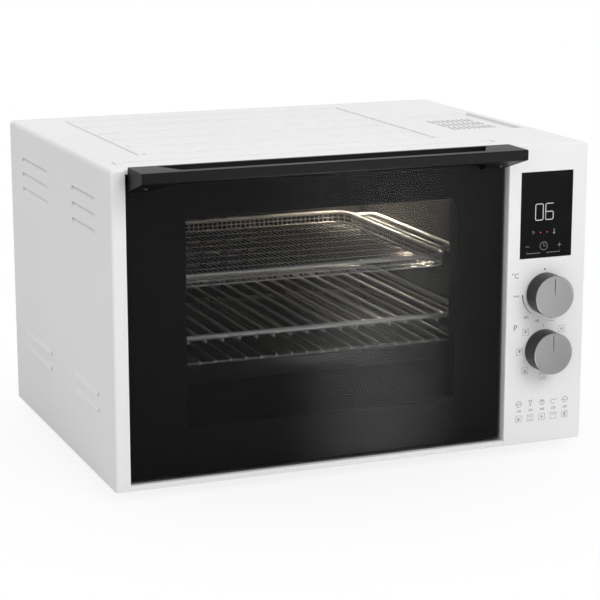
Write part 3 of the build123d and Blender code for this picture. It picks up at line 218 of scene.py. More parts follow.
def addMix(tree, factor, first, second):
    mix = addNode(tree, "Mix", data_type="RGBA")
    for place, item in zip((0, 6, 7), (factor, first, second)):  # the factor and the two colours
        tree.links.new(item, mix.inputs[place])
    return mix.outputs[2]


def finishGroup(name, *ownInputs):
    # every group takes two colours and two roughnesses beside its own inputs, and gives three results
    shared = [("Main Colour", "Color", (0.5, 0.5, 0.5, 1)), ("Second Colour", "Color", (0.4, 0.4, 0.4, 1)),
              ("Low Roughness", "Float", 0.3), ("High Roughness", "Float", 0.5)]
    results = [("Colour", "Color"), ("Roughness", "Float"), ("Height", "Float")]
    group, given, out = newGroup(name, shared + list(ownInputs), results)
    return group, given.outputs, out, addNode(group, "TexCoord").outputs["Object"]


def giveOut(group, out, colour, rough, height):
    for label, item in zip(("Colour", "Roughness", "Height"), (colour, rough, height)):
        group.links.new(item, out.inputs[label])
    return group


def coatGroup():
    # baked coat: slow cloudy colour, a fine orange-peel height and a roughness that drifts with both
    group, given, out, at = finishGroup("coatTexture", ("Cloud Scale", "Float", 6.0),
                                        ("Grain Scale", "Float", 900.0))
    cloud = addNoise(group, at, given["Cloud Scale"], 4.0, 0.55)
    grain = addNoise(group, at, given["Grain Scale"], 2.0, 0.5)
    spread = addRange(group, cloud, 0.3, 0.7, 0.0, 1.0)
    colour = addMix(group, spread, given["Main Colour"], given["Second Colour"])
    both = addMath(group, "ADD", addRange(group, cloud, 0.3, 0.7, 0.0, 0.6),
                   addRange(group, grain, 0.3, 0.7, 0.0, 0.4))
    rough = addRange(group, both, 0.0, 1.0, given["Low Roughness"], given["High Roughness"])
    return giveOut(group, out, colour, rough, grain)


def metalResults(group, given, out, mixed, height):
    # where the pattern is strong the metal shows its main colour and its lower roughness
    colour = addMix(group, mixed, given["Second Colour"], given["Main Colour"])
    rough = addRange(group, mixed, 0.2, 1.0, given["High Roughness"], given["Low Roughness"])
    return giveOut(group, out, colour, rough, height)


def brushGroup():
    # rolled or brushed metal: noise drawn out along one direction by a stretched mapping
    group, given, out, at = finishGroup("brushLines", ("Stretch", "Vector", (40.0, 40.0, 900.0)))
    stretched = addVectorMath(group, "MULTIPLY", at, given["Stretch"])
    lines = addNoise(group, stretched, 1.0, 3.0, 0.6)
    blotch = addNoise(group, at, 14.0, 3.0, 0.5)
    mixed = addMath(group, "MULTIPLY", addRange(group, lines, 0.25, 0.75, 0.3, 1.0),
                    addRange(group, blotch, 0.3, 0.7, 0.6, 1.0))
    return metalResults(group, given, out, mixed, lines)


def spunGroup():
    # metal turned on a lathe: rings read from the distance to the axis, with a little waver round the circle
    group, given, out, at = finishGroup("spunRings", ("Centre", "Vector", (0.0, 0.0, 0.0)),
                                        ("Ring Scale", "Float", 2600.0))
    away = addVectorMath(group, "SUBTRACT", at, given["Centre"])
    flat = addVectorMath(group, "MULTIPLY", away, (1.0, 0.0, 1.0))
    line = addNode(group, "CombineXYZ")
    group.links.new(addVectorMath(group, "LENGTH", flat), line.inputs[0])
    rings = addNoise(group, line.outputs[0], given["Ring Scale"], 2.0, 0.6)
    waver = addNoise(group, away, 120.0, 2.0, 0.5)
    mixed = addMath(group, "MULTIPLY", addRange(group, rings, 0.3, 0.7, 0.4, 1.0),
                    addRange(group, waver, 0.3, 0.7, 0.7, 1.0))
    return metalResults(group, given, out, mixed, rings)


def speckGroup():
    # fired enamel: pale specks where a cell pattern's distance is small, over a cloudy ground
    group, given, out, at = finishGroup("enamelSpecks", ("Speck", "Color", (0.4, 0.4, 0.4, 1)),
                                        ("Speck Scale", "Float", 260.0), ("Speck Size", "Float", 0.16))
    cells = addNode(group, "TexVoronoi")
    group.links.new(at, cells.inputs["Vector"])
    group.links.new(given["Speck Scale"], cells.inputs["Scale"])
    dot = addMath(group, "LESS_THAN", cells.outputs["Distance"], given["Speck Size"])
    cloud = addNoise(group, at, 9.0, 4.0, 0.6)
    spread = addRange(group, cloud, 0.3, 0.7, 0.0, 1.0)
    ground = addMix(group, spread, given["Main Colour"], given["Second Colour"])
    colour = addMix(group, dot, ground, given["Speck"])
    rough = addRange(group, cloud, 0.3, 0.7, given["Low Roughness"], given["High Roughness"])
    return giveOut(group, out, colour, rough, addNoise(group, at, 420.0, 2.0, 0.5))


def smudgeGroup():
    # handled gloss: soft patches that raise the roughness where fingers and cloths have been
    group, given, out, at = finishGroup("handlingMarks", ("Patch Scale", "Float", 9.0))
    patch = addNoise(group, at, given["Patch Scale"], 5.0, 0.6)
    streak = addNoise(group, at, 70.0, 3.0, 0.5)
    both = addMath(group, "MULTIPLY", addRange(group, patch, 0.45, 0.75, 0.0, 1.0),
                   addRange(group, streak, 0.3, 0.7, 0.5, 1.0))
    rough = addRange(group, both, 0.0, 1.0, given["Low Roughness"], given["High Roughness"])
    return giveOut(group, out, addMix(group, both, given["Main Colour"], given["Second Colour"]), rough, patch)


groups = {"coat": coatGroup(), "brush": brushGroup(), "spun": spunGroup(), "speck": speckGroup(),
          "smudge": smudgeGroup()}
print("shader groups made:", len(groups))


def warm(level, share):
    return (level * (1 + share), level, level * (1 - share))


def colourOf(value):
    # a single number is a plain grey, three are red, green and blue
    return (*np.broadcast_to(value, 3).tolist(), 1.0)


groupLabels = {"cloud": "Cloud Scale", "grain": "Grain Scale", "stretch": "Stretch", "centre": "Centre",
               "rings": "Ring Scale", "speckScale": "Speck Scale", "speckSize": "Speck Size",
               "patch": "Patch Scale"}
shaderLabels = {"specular": "Specular IOR Level", "metallic": "Metallic", "alpha": "Alpha", "ior": "IOR",
                "glow": "Emission Strength"}


def makeFinish(name, kind, row):
    # one Principled shader: colour, roughness and bump come from a group, plain values are on its own sockets
    finish = bpy.data.materials.new(name)
    finish.use_nodes = True
    tree = finish.node_tree
    shader = tree.nodes["Principled BSDF"]
    source = tree.nodes.new("ShaderNodeGroup")
    source.node_tree = groups[kind]
    for label, value in zip(("Main Colour", "Second Colour"), row["colours"]):
        source.inputs[label].default_value = colourOf(value)
    for label, value in zip(("Low Roughness", "High Roughness"), row["rough"]):
        source.inputs[label].default_value = value
    tree.links.new(source.outputs["Colour"], shader.inputs["Base Color"])
    tree.links.new(source.outputs["Roughness"], shader.inputs["Roughness"])
    if "speck" in row:
        source.inputs["Speck"].default_value = colourOf(row["speck"])
    if "glowColour" in row:
        shader.inputs["Emission Color"].default_value = colourOf(row["glowColour"])
    if "bump" in row:
        strength, distance = row["bump"]
        ridge = addNode(tree, "Bump", in_Strength=strength, in_Distance=distance)
        tree.links.new(source.outputs["Height"], ridge.inputs["Height"])
        tree.links.new(ridge.outputs["Normal"], shader.inputs["Normal"])
    for key, value in row.items():
        if key in groupLabels:
            source.inputs[groupLabels[key]].default_value = value
        elif key in shaderLabels:
            shader.inputs[shaderLabels[key]].default_value = value
    return finish


# Finishes by kind. Colours are linear, roughness runs from low to high, bump is strength and distance in metres
finishValues = {
    "coat": {
        "whiteCoat": dict(colours=(0.78, 0.75), rough=(0.36, 0.48), cloud=3.0, grain=1400.0,
                          bump=(0.12, 0.0001), specular=0.35),
        "rubber": dict(colours=(0.02, 0.03), rough=(0.7, 0.9), cloud=40.0, grain=700.0, bump=(0.3, 0.0003)),
        "blackPlastic": dict(colours=(0.02, 0.028), rough=(0.45, 0.6), cloud=20.0, grain=1500.0,
                             bump=(0.2, 0.0002)),
        "silicone": dict(colours=(0.05, 0.07), rough=(0.55, 0.7), cloud=30.0, grain=900.0, bump=(0.2, 0.0002)),
        "glassWool": dict(colours=((0.62, 0.55, 0.28), (0.5, 0.44, 0.2)), rough=(0.85, 1.0), cloud=60.0,
                          grain=700.0, bump=(0.8, 0.002)),
        "ceramicWhite": dict(colours=(warm(0.75, 0.02), warm(0.68, 0.03)), rough=(0.15, 0.3), cloud=30.0,
                             grain=800.0, bump=(0.1, 0.0001)),
        "boardGreen": dict(colours=((0.01, 0.08, 0.025), (0.015, 0.11, 0.03)), rough=(0.3, 0.5), cloud=200.0,
                           grain=900.0, bump=(0.15, 0.0002)),
        "controlHousing": dict(colours=(warm(0.6, 0.03), warm(0.52, 0.04)), rough=(0.4, 0.55), cloud=30.0,
                               grain=900.0, bump=(0.15, 0.0002)),
        "terminalPlastic": dict(colours=(0.65, 0.58), rough=(0.4, 0.55), cloud=30.0, grain=900.0,
                                bump=(0.15, 0.0002)),
        "loomSleeve": dict(colours=(0.03, 0.05), rough=(0.6, 0.8), cloud=300.0, grain=1500.0,
                           bump=(0.5, 0.0004)),
        "doorBlack": dict(colours=(0.006, 0.009), rough=(0.4, 0.55), cloud=12.0, grain=900.0,
                          bump=(0.15, 0.0002), specular=0.25),
        "handleBlack": dict(colours=(0.006, 0.009), rough=(0.34, 0.46), cloud=8.0, grain=1300.0,
                            bump=(0.12, 0.0001), specular=0.08),
        "knobCharcoal": dict(colours=(0.010, 0.014), rough=(0.28, 0.38), cloud=20.0, grain=1300.0,
                             bump=(0.1, 0.0001), specular=0.25),
        "printGrey": dict(colours=(0.07, 0.09), rough=(0.4, 0.5), cloud=60.0, grain=1500.0,
                          bump=(0.05, 0.0001)),
        "litWhite": dict(colours=(0.35, 0.3), rough=(0.4, 0.5), cloud=200.0, grain=1500.0,
                         glowColour=(0.85, 0.92, 1.0), glow=0.34),
        "litDim": dict(colours=(0.12, 0.1), rough=(0.4, 0.5), cloud=200.0, grain=1500.0,
                       glowColour=(0.85, 0.9, 1.0), glow=0.12),
        "litRed": dict(colours=((0.5, 0.03, 0.02), (0.4, 0.02, 0.02)), rough=(0.4, 0.5), cloud=200.0,
                       grain=1500.0, glowColour=(1.0, 0.08, 0.08), glow=0.3),
        "floorFinish": dict(colours=(0.80, 0.79), rough=(0.7, 0.8), cloud=2.0, grain=300.0, specular=0.1),
    },
    "brush": {
        "galvanised": dict(colours=(0.60, 0.45), rough=(0.32, 0.5), stretch=(300.0, 30.0, 300.0)),
        "darkScrew": dict(colours=(0.05, 0.03), rough=(0.4, 0.55), stretch=(900.0, 60.0, 900.0)),
        "screwSteel": dict(colours=(0.5, 0.36), rough=(0.25, 0.45), stretch=(900.0, 60.0, 900.0)),
        "elementSheath": dict(colours=(warm(0.10, 0.04), warm(0.06, 0.08)), rough=(0.4, 0.6),
                              stretch=(60.0, 400.0, 400.0)),
        "brightSteel": dict(colours=(0.66, 0.5), rough=(0.2, 0.36), stretch=(60.0, 500.0, 500.0)),
        "chromeWire": dict(colours=(warm(0.97, 0.01), warm(0.88, 0.02)), rough=(0.24, 0.38),
                           stretch=(200.0, 60.0, 200.0), metallic=0.3),
        "dimWire": dict(colours=(warm(0.34, 0.02), warm(0.26, 0.03)), rough=(0.3, 0.42),
                        stretch=(200.0, 60.0, 200.0), metallic=0.6),
    },
    "speck": {
        "cavityEnamel": dict(colours=(warm(0.026, 0.03), warm(0.019, 0.03)), speck=warm(0.09, 0.02),
                             speckScale=300.0, speckSize=0.14, rough=(0.3, 0.48), bump=(0.15, 0.0002)),
        "trayEnamel": dict(colours=(0.025, 0.018), speck=0.12, speckScale=340.0, speckSize=0.12,
                           rough=(0.16, 0.3), bump=(0.12, 0.0002)),
    },
    "smudge": {
        "displayBlack": dict(colours=(0.003, 0.005), rough=(0.12, 0.2), patch=30.0, specular=0.08),
        "doorGlass": dict(colours=(0.003, 0.006), rough=(0.2, 0.28), patch=7.0, alpha=0.34, specular=0.17),
        "innerPane": dict(colours=(0.006, 0.02), rough=(0.05, 0.15), patch=11.0, alpha=0.12, specular=0.15),
        "fritBlack": dict(colours=(0.002, 0.003), rough=(0.5, 0.6), patch=20.0, specular=0.08),
        "lampGlass": dict(colours=((0.9, 0.75, 0.5), (0.8, 0.66, 0.45)), rough=(0.1, 0.2), patch=60.0,
                          alpha=0.8, glowColour=(1.0, 0.72, 0.4), glow=4.0),
        "lensGlass": dict(colours=((0.8, 0.78, 0.72), (0.7, 0.68, 0.6)), rough=(0.05, 0.15), patch=60.0,
                          alpha=0.25, ior=1.45),
    },
}
brushDefaults = {"metallic": 1.0, "bump": (0.1, 0.0001)}
finishes = {}
for kind, rows in finishValues.items():
    for name, row in rows.items():
        finishes[name] = makeFinish(name, kind, {**brushDefaults, **row} if kind == "brush" else row)

knobCentres = {"temperature": (229.4, 176.0), "function": (229.4, 110.0)}
knobFace = {"colours": (0.22, 0.17), "rough": (0.3, 0.42), "rings": 2600.0, "metallic": 0.85,
            "bump": (0.08, 0.00005)}
for control, (centreX, centreH) in knobCentres.items():
    row = {**knobFace, "centre": toRow([centreX, 0.0, centreH]).tolist()}
    finishes[control + "Face"] = makeFinish(control + "Face", "spun", row)
print("finishes made:", len(finishes))

nodeFinish = {
    "whiteCoat": ["outer_shell", "door_surround", "door_sill", "control_panel"],
    "galvanised": ["base_plate", "rear_panel", "control_divider", "motor_bracket", "hinge_bracket_left",
                   "hinge_bracket_right", "control_bracket"],
    "rubber": ["feet"],
    "darkScrew": ["handle_screws"],
    "screwSteel": ["foot_screws", "rear_screws", "hinge_pins", "fan_shaft", "fan_motor",
                   "temperature_shaft", "function_shaft"],
    "blackPlastic": ["rear_spacers", "cord_gland"],
    "cavityEnamel": ["cavity_liner", "fan_cover"],
    "silicone": ["door_seal"],
    "glassWool": ["insulation_wrap"],
    "elementSheath": ["top_heater", "bottom_heater"],
    "brightSteel": ["heater_brackets", "glass_clips", "fan_blade", "touch_pads", "thermostat_feeler",
                    "door_stay_left", "door_stay_right"],
    "ceramicWhite": ["heater_bushes", "lamp_holder"],
    "boardGreen": ["display_board"],
    "controlHousing": ["thermostat", "function_switch"],
    "terminalPlastic": ["terminal_block"],
    "loomSleeve": ["wiring_loom"],
    "doorBlack": ["door_frame"],
    "handleBlack": ["door_handle"],
    "knobCharcoal": ["temperature_knob", "function_knob"],
    "chromeWire": ["wire_rack", "fry_basket"],
    "dimWire": ["roasting_grid"],
    "trayEnamel": ["baking_tray"],
    "displayBlack": ["display_window"],
    "doorGlass": ["outer_glass"],
    "innerPane": ["inner_glass"],
    "lampGlass": ["lamp_bulb"],
    "lensGlass": ["lamp_lens"],
    "temperatureFace": ["temperature_knob_cap"],
    "functionFace": ["function_knob_cap"],
}
for finishName, names in nodeFinish.items():
    for name in names:
        for place in nodes[name].material_slots:
            place.material = finishes[finishName]
print("finishes given to", sum(len(names) for names in nodeFinish.values()), "of", len(nodes), "pieces")

# Air-fry basket: net of fine wires between two hoops, a thick rim rod and a hanger rod on each side
basketSize = {
    "left": -216.0, "right": 133.0, "front": 52.0, "back": 352.0, "rimHeight": 217.5, "floorHeight": 205.2,
    "corner": 24.0, "rimRadius": 2.5, "hoopRadius": 0.8, "wireRadius": 0.45, "pitch": 6.2, "crossPitch": 31.0,
    "crossDrop": 1.0, "floorHoopRise": 0.4, "floorHoopInset": 1.0, "wallHoop": 211.0, "wallHoopInset": 0.3,
    "wallGap": 0.4, "endGap": 0.6, "bendReach": (0.5, 2.2), "bendRise": (0.7, 2.4),
    "hangerFront": 90.0, "hangerBack": 322.0, "hangerLeft": -244.5, "hangerRight": 161.5, "hangerCorner": 10.0,
}


def hoop(size, height, inset, radius, sides):
    # a rounded rectangle at one height, drawn in by the inset
    left, right = size["left"] + inset, size["right"] - inset
    front, back = size["front"] + inset, size["back"] - inset
    corners = [(right, back, height), (right, front, height), (left, front, height), (left, back, height)]
    return rodArrays(softCorners(corners, size["corner"] - inset, 8, True), radius, sides, True)


def netWires(size, crosswise):
    # U-shaped wires: down the wall from the rim, across the floor and up again. Near a corner a wire starts
    # later by r - sqrt(r^2 - s^2), with s its distance into the corner, so that its ends follow the hoop
    order = ("front", "back", "left", "right") if crosswise else ("left", "right", "front", "back")
    low, high, edgeLow, edgeHigh = (size[key] for key in order)
    pitch = size["crossPitch"] if crosswise else size["pitch"]
    count = int((high - low) // pitch)
    at = low + ((high - low) - (count - 1) * pitch) / 2 + np.arange(count) * pitch
    r = size["corner"]
    into = np.clip(np.maximum(low + r - at, at - (high - r)), 0, r)
    late = r - np.sqrt(np.maximum(r * r - into * into, 0))
    first, last = edgeLow + late + size["wallGap"], edgeHigh - late - size["wallGap"]
    floor, rim = size["floorHeight"] - crosswise * size["crossDrop"], size["rimHeight"] - size["endGap"]
    (near, far), (small, tall) = size["bendReach"], size["bendRise"]
    along = np.stack([first, first, first + near, first + far, last - far, last - near, last, last], 1)
    heights = [rim, floor + tall, floor + small, floor, floor, floor + small, floor + tall, rim]
    height = np.tile(heights, (count, 1))
    fixed = np.repeat(at[:, None], along.shape[1], 1)
    paths = np.stack([along, fixed, height] if crosswise else [fixed, along, height], -1)
    return rodRows(paths, size["wireRadius"], (0, 1, 0) if crosswise else (1, 0, 0))


def hanger(size, edge, reach):
    # a rod out of the rim, along the shelf guide and back into the rim
    front, back, height = size["hangerFront"], size["hangerBack"], size["rimHeight"]
    corners = [(edge, front, height), (reach, front, height), (reach, back, height), (edge, back, height)]
    return rodArrays(softCorners(corners, size["hangerCorner"], 6), size["rimRadius"], 10)


def wallPosts(size):
    # short upright wires along both side walls, between the floor hoop and the rim
    count = int((size["back"] - size["front"] - 2 * size["corner"]) // size["pitch"])
    d = (size["front"] + size["back"]) / 2 + (np.arange(count) - (count - 1) / 2) * size["pitch"]
    height = np.linspace(size["floorHeight"] + size["endGap"], size["rimHeight"] - size["endGap"], 3)
    sides = (size["left"] + size["wallGap"], size["right"] - size["wallGap"])
    walls = [np.stack(np.broadcast_arrays(x, d[:, None], height[None]), -1) for x in sides]
    return rodRows(np.concatenate(walls), size["wireRadius"], (1, 0, 0))


b = basketSize
floorHoop = hoop(b, b["floorHeight"] + b["floorHoopRise"], b["floorHoopInset"], b["hoopRadius"], 8)
rimParts = [hoop(b, b["rimHeight"], 0.0, b["rimRadius"], 12), floorHoop,
            hanger(b, b["left"], b["hangerLeft"]), hanger(b, b["right"], b["hangerRight"])]
basketRim = makePiece("basketRim", joinArrays(*rimParts), finishes["chromeWire"], "basket")
netParts = [netWires(b, False), netWires(b, True), wallPosts(b),
            hoop(b, b["wallHoop"], b["wallHoopInset"], b["wireRadius"], 6)]
basketNet = makePiece("basketNet", joinArrays(*netParts), finishes["chromeWire"], "basket")
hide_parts("fry_basket")
print("basket made:", len(basketNet.data.polygons), "net faces")

# Bright rods along the inner edge of each shelf guide
guideRods = {"depths": (52.0, 350.0), "levels": (112.6, 142.6, 212.6), "inset": 9.4, "radius": 1.5,
             "walls": (-248.0, 165.0), "wallGap": 0.5, "bend": 4.0}


def guideRodArrays(values):
    # each rod leaves the wall, runs along the guide and goes back into the wall
    parts = []
    start, end = values["depths"]
    for wall, inward in zip(values["walls"], (1, -1)):
        foot, x = wall + inward * values["wallGap"], wall + inward * values["inset"]
        for level in values["levels"]:
            corners = [(foot, start, level), (x, start, level), (x, end, level), (foot, end, level)]
            parts.append(rodArrays(softCorners(corners, values["bend"], 4), values["radius"], 8))
    return joinArrays(*parts)


makePiece("guideRods", guideRodArrays(guideRods), finishes["chromeWire"], "housing")

# Bright wire ends: rounded caps on the front of the rack's and the grid's wires
wireEnds = {"centre": -41.5, "reach": 1.2, "skirt": 1.5, "tipRadius": 0.02, "sides": 12,
            "rack": {"body": "rack", "pitch": 20.0, "count": 19, "depth": 48.7, "height": 144.0,
                     "radius": 1.75},
            "grid": {"body": "tray", "pitch": 18.0, "count": 21, "depth": 50.7, "height": 119.8,
                     "radius": 1.65}}


def spacedRow(centre, count, pitch):
    return centre + (np.arange(count) - (count - 1) / 2) * pitch


def wireEndArrays(values, row):
    # a small dome and skirt at each wire: rings of radius r * cos t at depth - reach * sin t,
    # t from 0 to a quarter turn
    t = np.array([0.0, 0.0, 0.35, 0.7, 1.0]) * np.pi / 2
    r = row["radius"] * np.cos(t) + values["tipRadius"]
    d = row["depth"] - values["reach"] * np.sin(t) + np.array([values["skirt"], 0, 0, 0, 0])
    a = np.arange(values["sides"]) * 2 * np.pi / values["sides"]
    x = spacedRow(values["centre"], row["count"], row["pitch"])
    ring = np.stack([r[:, None] * np.cos(a), np.repeat(d[:, None], len(a), 1),
                     row["height"] + r[:, None] * np.sin(a)], -1)
    points = ring[None] + np.stack([x, 0 * x, 0 * x], -1)[:, None, None]
    return points.reshape(-1, 3), rodFaces(len(x), len(t), len(a))


for end in ("rack", "grid"):
    row = wireEnds[end]
    makePiece(end + "WireEnds", wireEndArrays(wireEnds, row), finishes["chromeWire"],
              row["body"])

# Folded bright lips in the fan cover's two long slot rows
slotLips = {"centre": -41.5, "heights": (99.2, 116.2), "pitch": 32.0, "count": 8, "length": 19.0,
            "depth": 357.6, "radius": 0.9}


def slotLipArrays(values):
    # short rods side by side: x runs over length about each slot's centre
    centres = spacedRow(values["centre"], values["count"], values["pitch"])
    x = centres[:, None] + np.linspace(-0.5, 0.5, 4) * values["length"]
    rows = [np.stack(np.broadcast_arrays(x, values["depth"], height), -1) for height in values["heights"]]
    return rodRows(np.concatenate(rows), values["radius"], (0, 0, 1), 8)


makePiece("slotLips", slotLipArrays(slotLips), finishes["brightSteel"], "housing")
print("cavity details made")

# Black border printed inside the outer glass, with a rounded window left clear
glassBorder = {"outer": {"left": -261.4, "right": 178.4, "low": 8.6, "high": 339.9, "corner": 1.0},
               "window": {"left": -195.5, "right": 122.0, "low": 60.0, "high": 290.0, "corner": 5.0},
               "front": 10.75, "back": 10.9}


def softLoop(values):
    corners = [(values["right"], 0, values["high"]), (values["right"], 0, values["low"]),
               (values["left"], 0, values["low"]), (values["left"], 0, values["high"])]
    return softCorners(corners, values["corner"], 6, True)


def glassBorderArrays(values):
    # four loops of points (outer front, inner front, inner back, outer back), joined into a closed frame
    inner, outer = softLoop(values["window"]), softLoop(values["outer"])
    front, back = (0, values["front"], 0), (0, values["back"], 0)
    loops = [outer + front, inner + front, inner + back, outer + back]
    return np.concatenate(loops), gridQuads(4, len(inner), True, True).tolist()


makePiece("glassBorder", glassBorderArrays(glassBorder), finishes["fritBlack"], "door",
          smooth=False)
print("door border made")

# Rings round the knob faces and the painted line on each
knobRing = {"outer": 23.75, "inner": 22.3, "front": -24.62, "back": -23.4, "face": -24.5}
knobLine = {"width": 0.6, "from": 5.0, "to": 20.5, "front": -24.56, "back": -24.3}


def ringProfile(values):
    # a half-round bead between the two radii, standing a little proud of the face
    middle, half = (values["outer"] + values["inner"]) / 2, (values["outer"] - values["inner"]) / 2
    a = np.linspace(0, np.pi, 9)
    proud = values["face"] - values["front"]
    bead = np.stack([middle + half * np.cos(a), values["face"] - proud * np.sin(a)], 1)
    return np.concatenate([[[values["outer"], values["back"]]], bead, [[values["inner"], values["back"]]]])


def barArrays(lines, width, front, back):
    # flat strips on the panel: each line's points move half a width to both sides and get a front and a back
    parts = []
    for line in lines:
        line = np.asarray(line, float)
        closed = bool(np.allclose(line[0], line[-1])) and len(line) > 3
        core = line[:-1] if closed else line
        along = np.roll(core, -1, 0) - np.roll(core, 1, 0) if closed else np.gradient(core, axis=0)
        along /= np.maximum(np.linalg.norm(along, axis=1, keepdims=True), 1e-9)
        side = np.stack([-along[:, 1], along[:, 0]], 1) * width / 2
        edges = [(core + side, front), (core - side, front), (core - side, back), (core + side, back)]
        loops = [np.stack([e[:, 0], np.full(len(e), d), e[:, 1]], 1) for e, d in edges]
        points = np.stack(loops, 1).reshape(-1, 3)
        faces = gridQuads(len(core), 4, closed, True).tolist()
        if not closed:
            end = (len(core) - 1) * 4
            faces += [[0, 1, 2, 3], [end + 3, end + 2, end + 1, end]]
        parts.append((points, faces))
    return joinArrays(*parts)


def ringLine(x, h, radius, start=0.0, end=360.0, steps=40):
    # points of a circle or an arc, angles in degrees from the right, counting upwards
    a = np.radians(np.linspace(start, end, steps + 1))
    return np.stack([x + radius * np.cos(a), h + radius * np.sin(a)], 1)


for control, (centreX, centreH) in knobCentres.items():
    body = control + "_control"
    makePiece(control + "KnobRing", turnedArrays(ringProfile(knobRing), (centreX, centreH), 96),
              finishes[control + "Face"], body)
    line = [[(centreX, centreH + knobLine["from"]), (centreX, centreH + knobLine["to"])]]
    makePiece(control + "KnobLine", barArrays(line, knobLine["width"], knobLine["front"], knobLine["back"]),
              finishes["printGrey"], body, smooth=False)
print("knob faces made")


# Prints and lit signs on the control side
def letterArrays(text, x, h, size, front, thickness=0.05):
    curve = bpy.data.curves.new("lettering", "FONT")
    curve.body, curve.size, curve.resolution_u = text, size / 1000, 3
    curve.align_x, curve.align_y, curve.extrude = "CENTER", "CENTER", thickness / 2000
    holder = bpy.data.objects.new("lettering", curve)
    bpy.context.scene.collection.objects.link(holder)
    mesh = bpy.data.meshes.new_from_object(holder.evaluated_get(bpy.context.evaluated_depsgraph_get()))
    flat = np.zeros(len(mesh.vertices) * 3)
    mesh.vertices.foreach_get("co", flat)
    flat = flat.reshape(-1, 3) * 1000
    faces = [list(face.vertices) for face in mesh.polygons]
    bpy.data.objects.remove(holder)
    bpy.data.meshes.remove(mesh)
    bpy.data.curves.remove(curve)
    # letters lie in x and y: y becomes height and z becomes the way to the front
    points = np.stack([x + flat[:, 0], front + thickness / 2 - flat[:, 2], h + flat[:, 1]], 1)
    return points, faces


def boxLine(x, h, width, height):
    # the outline of a rectangle about its centre, back to where it starts
    left, right, low, high = x - width / 2, x + width / 2, h - height / 2, h + height / 2
    return [(left, low), (right, low), (right, high), (left, high), (left, low)]


def roundDot(x, h, radius, front, back, sides=16):
    ring = ringLine(x, h, radius, 0, 360, sides)[:-1]
    points = np.concatenate([np.stack([ring[:, 0], np.full(sides, front), ring[:, 1]], 1),
                             np.stack([ring[:, 0], np.full(sides, back), ring[:, 1]], 1)])
    return points, rodFaces(1, 2, sides)

# Places on the control side. Letters are text, x, height and size; modes are kind, x, height and size
printPlace = {
    "front": -0.05, "back": 0.05, "line": 0.45, "dialX": 229.4, "upper": 176.1, "lower": 110.0,
    "topDot": {"shift": -0.3, "rise": 27.2, "radius": 1.1},
    "arc": {"radius": 28.2, "angles": (181, 234), "widths": (1.5, 0.5), "pieces": 8, "overlap": 0.6},
    "dots": {"angles": (240, 318, 9), "radius": 0.45},
    "letters": (("°C", 191.6, 197.8, 8.2), ("max", 193.5, 174.9, 4.4), ("200", 206.2, 149.2, 4.2),
                ("180", 220.4, 143.9, 4.2), ("P", 193.0, 137.4, 9.6)),
    "modes": (("fan", 252.6, 132.1, 7.6), ("fan top", 206.5, 131.7, 7.6), ("grill fan", 199.2, 109.6, 7.6),
              ("bottom fan", 206.5, 86.6, 7.6), ("top bottom", 229.6, 78.4, 8.2)),
    "columns": (199.9, 214.9, 230.0, 245.0, 259.8), "heats": ("140", "190", "200", "220", "230"),
    "heatHeight": 38.9, "heatSize": 4.0, "columnHeight": 30.0, "columnSize": 7.4,
    "columnModes": ("bottom fan", "top bottom", "fan", "grill", "top bottom fan"),
}


def modeSign(kind, x, h, size):
    # an outlined square with a few short lines inside: elements above or below, a fan, or a grill zigzag
    s = size / 2
    signs = [boxLine(x, h, size, size)]
    if "top" in kind:
        signs.append([(x - s * 0.6, h + s * 0.5), (x + s * 0.6, h + s * 0.5)])
    if "bottom" in kind:
        signs.append([(x - s * 0.6, h - s * 0.5), (x + s * 0.6, h - s * 0.5)])
    if "fan" in kind:
        signs += [[(x - s * 0.4, h - s * 0.3), (x + s * 0.4, h + s * 0.3)],
                  [(x - s * 0.4, h + s * 0.3), (x + s * 0.4, h - s * 0.3)],
                  [(x, h - s * 0.42), (x, h + s * 0.42)]]
    if "grill" in kind:
        zig = np.linspace(-0.6, 0.6, 7) * s
        signs.append(np.stack([x + zig, h + s * 0.45 + np.tile([0.12, -0.12], 4)[:7] * s], 1))
    return signs


def foodSigns(columns):
    # a few lines each: a circle with a bar, a cup, two rings, a pan with its handle and a dome on a tray
    first, second, third, fourth, fifth = columns
    return [ringLine(first, 47.4, 3.4), [(first - 3.6, 47.4), (first + 3.6, 47.4)],
            [(second - 1.6, 50.6), (second - 0.4, 43.9)], [(second + 1.6, 50.8), (second + 0.4, 43.9)],
            [(second - 2.6, 50.6), (second + 2.6, 50.8)],
            ringLine(third, 47.0, 3.0), ringLine(third, 48.0, 1.3),
            ringLine(fourth - 1.0, 46.6, 2.6, 30, 330), [(fourth + 1.2, 48.0), (fourth + 4.0, 50.4)],
            ringLine(fifth, 47.2, 3.6, 0, 180), [(fifth - 3.8, 47.2), (fifth + 3.8, 47.2)],
            [(fifth - 3.0, 45.0), (fifth + 3.0, 45.0)]]


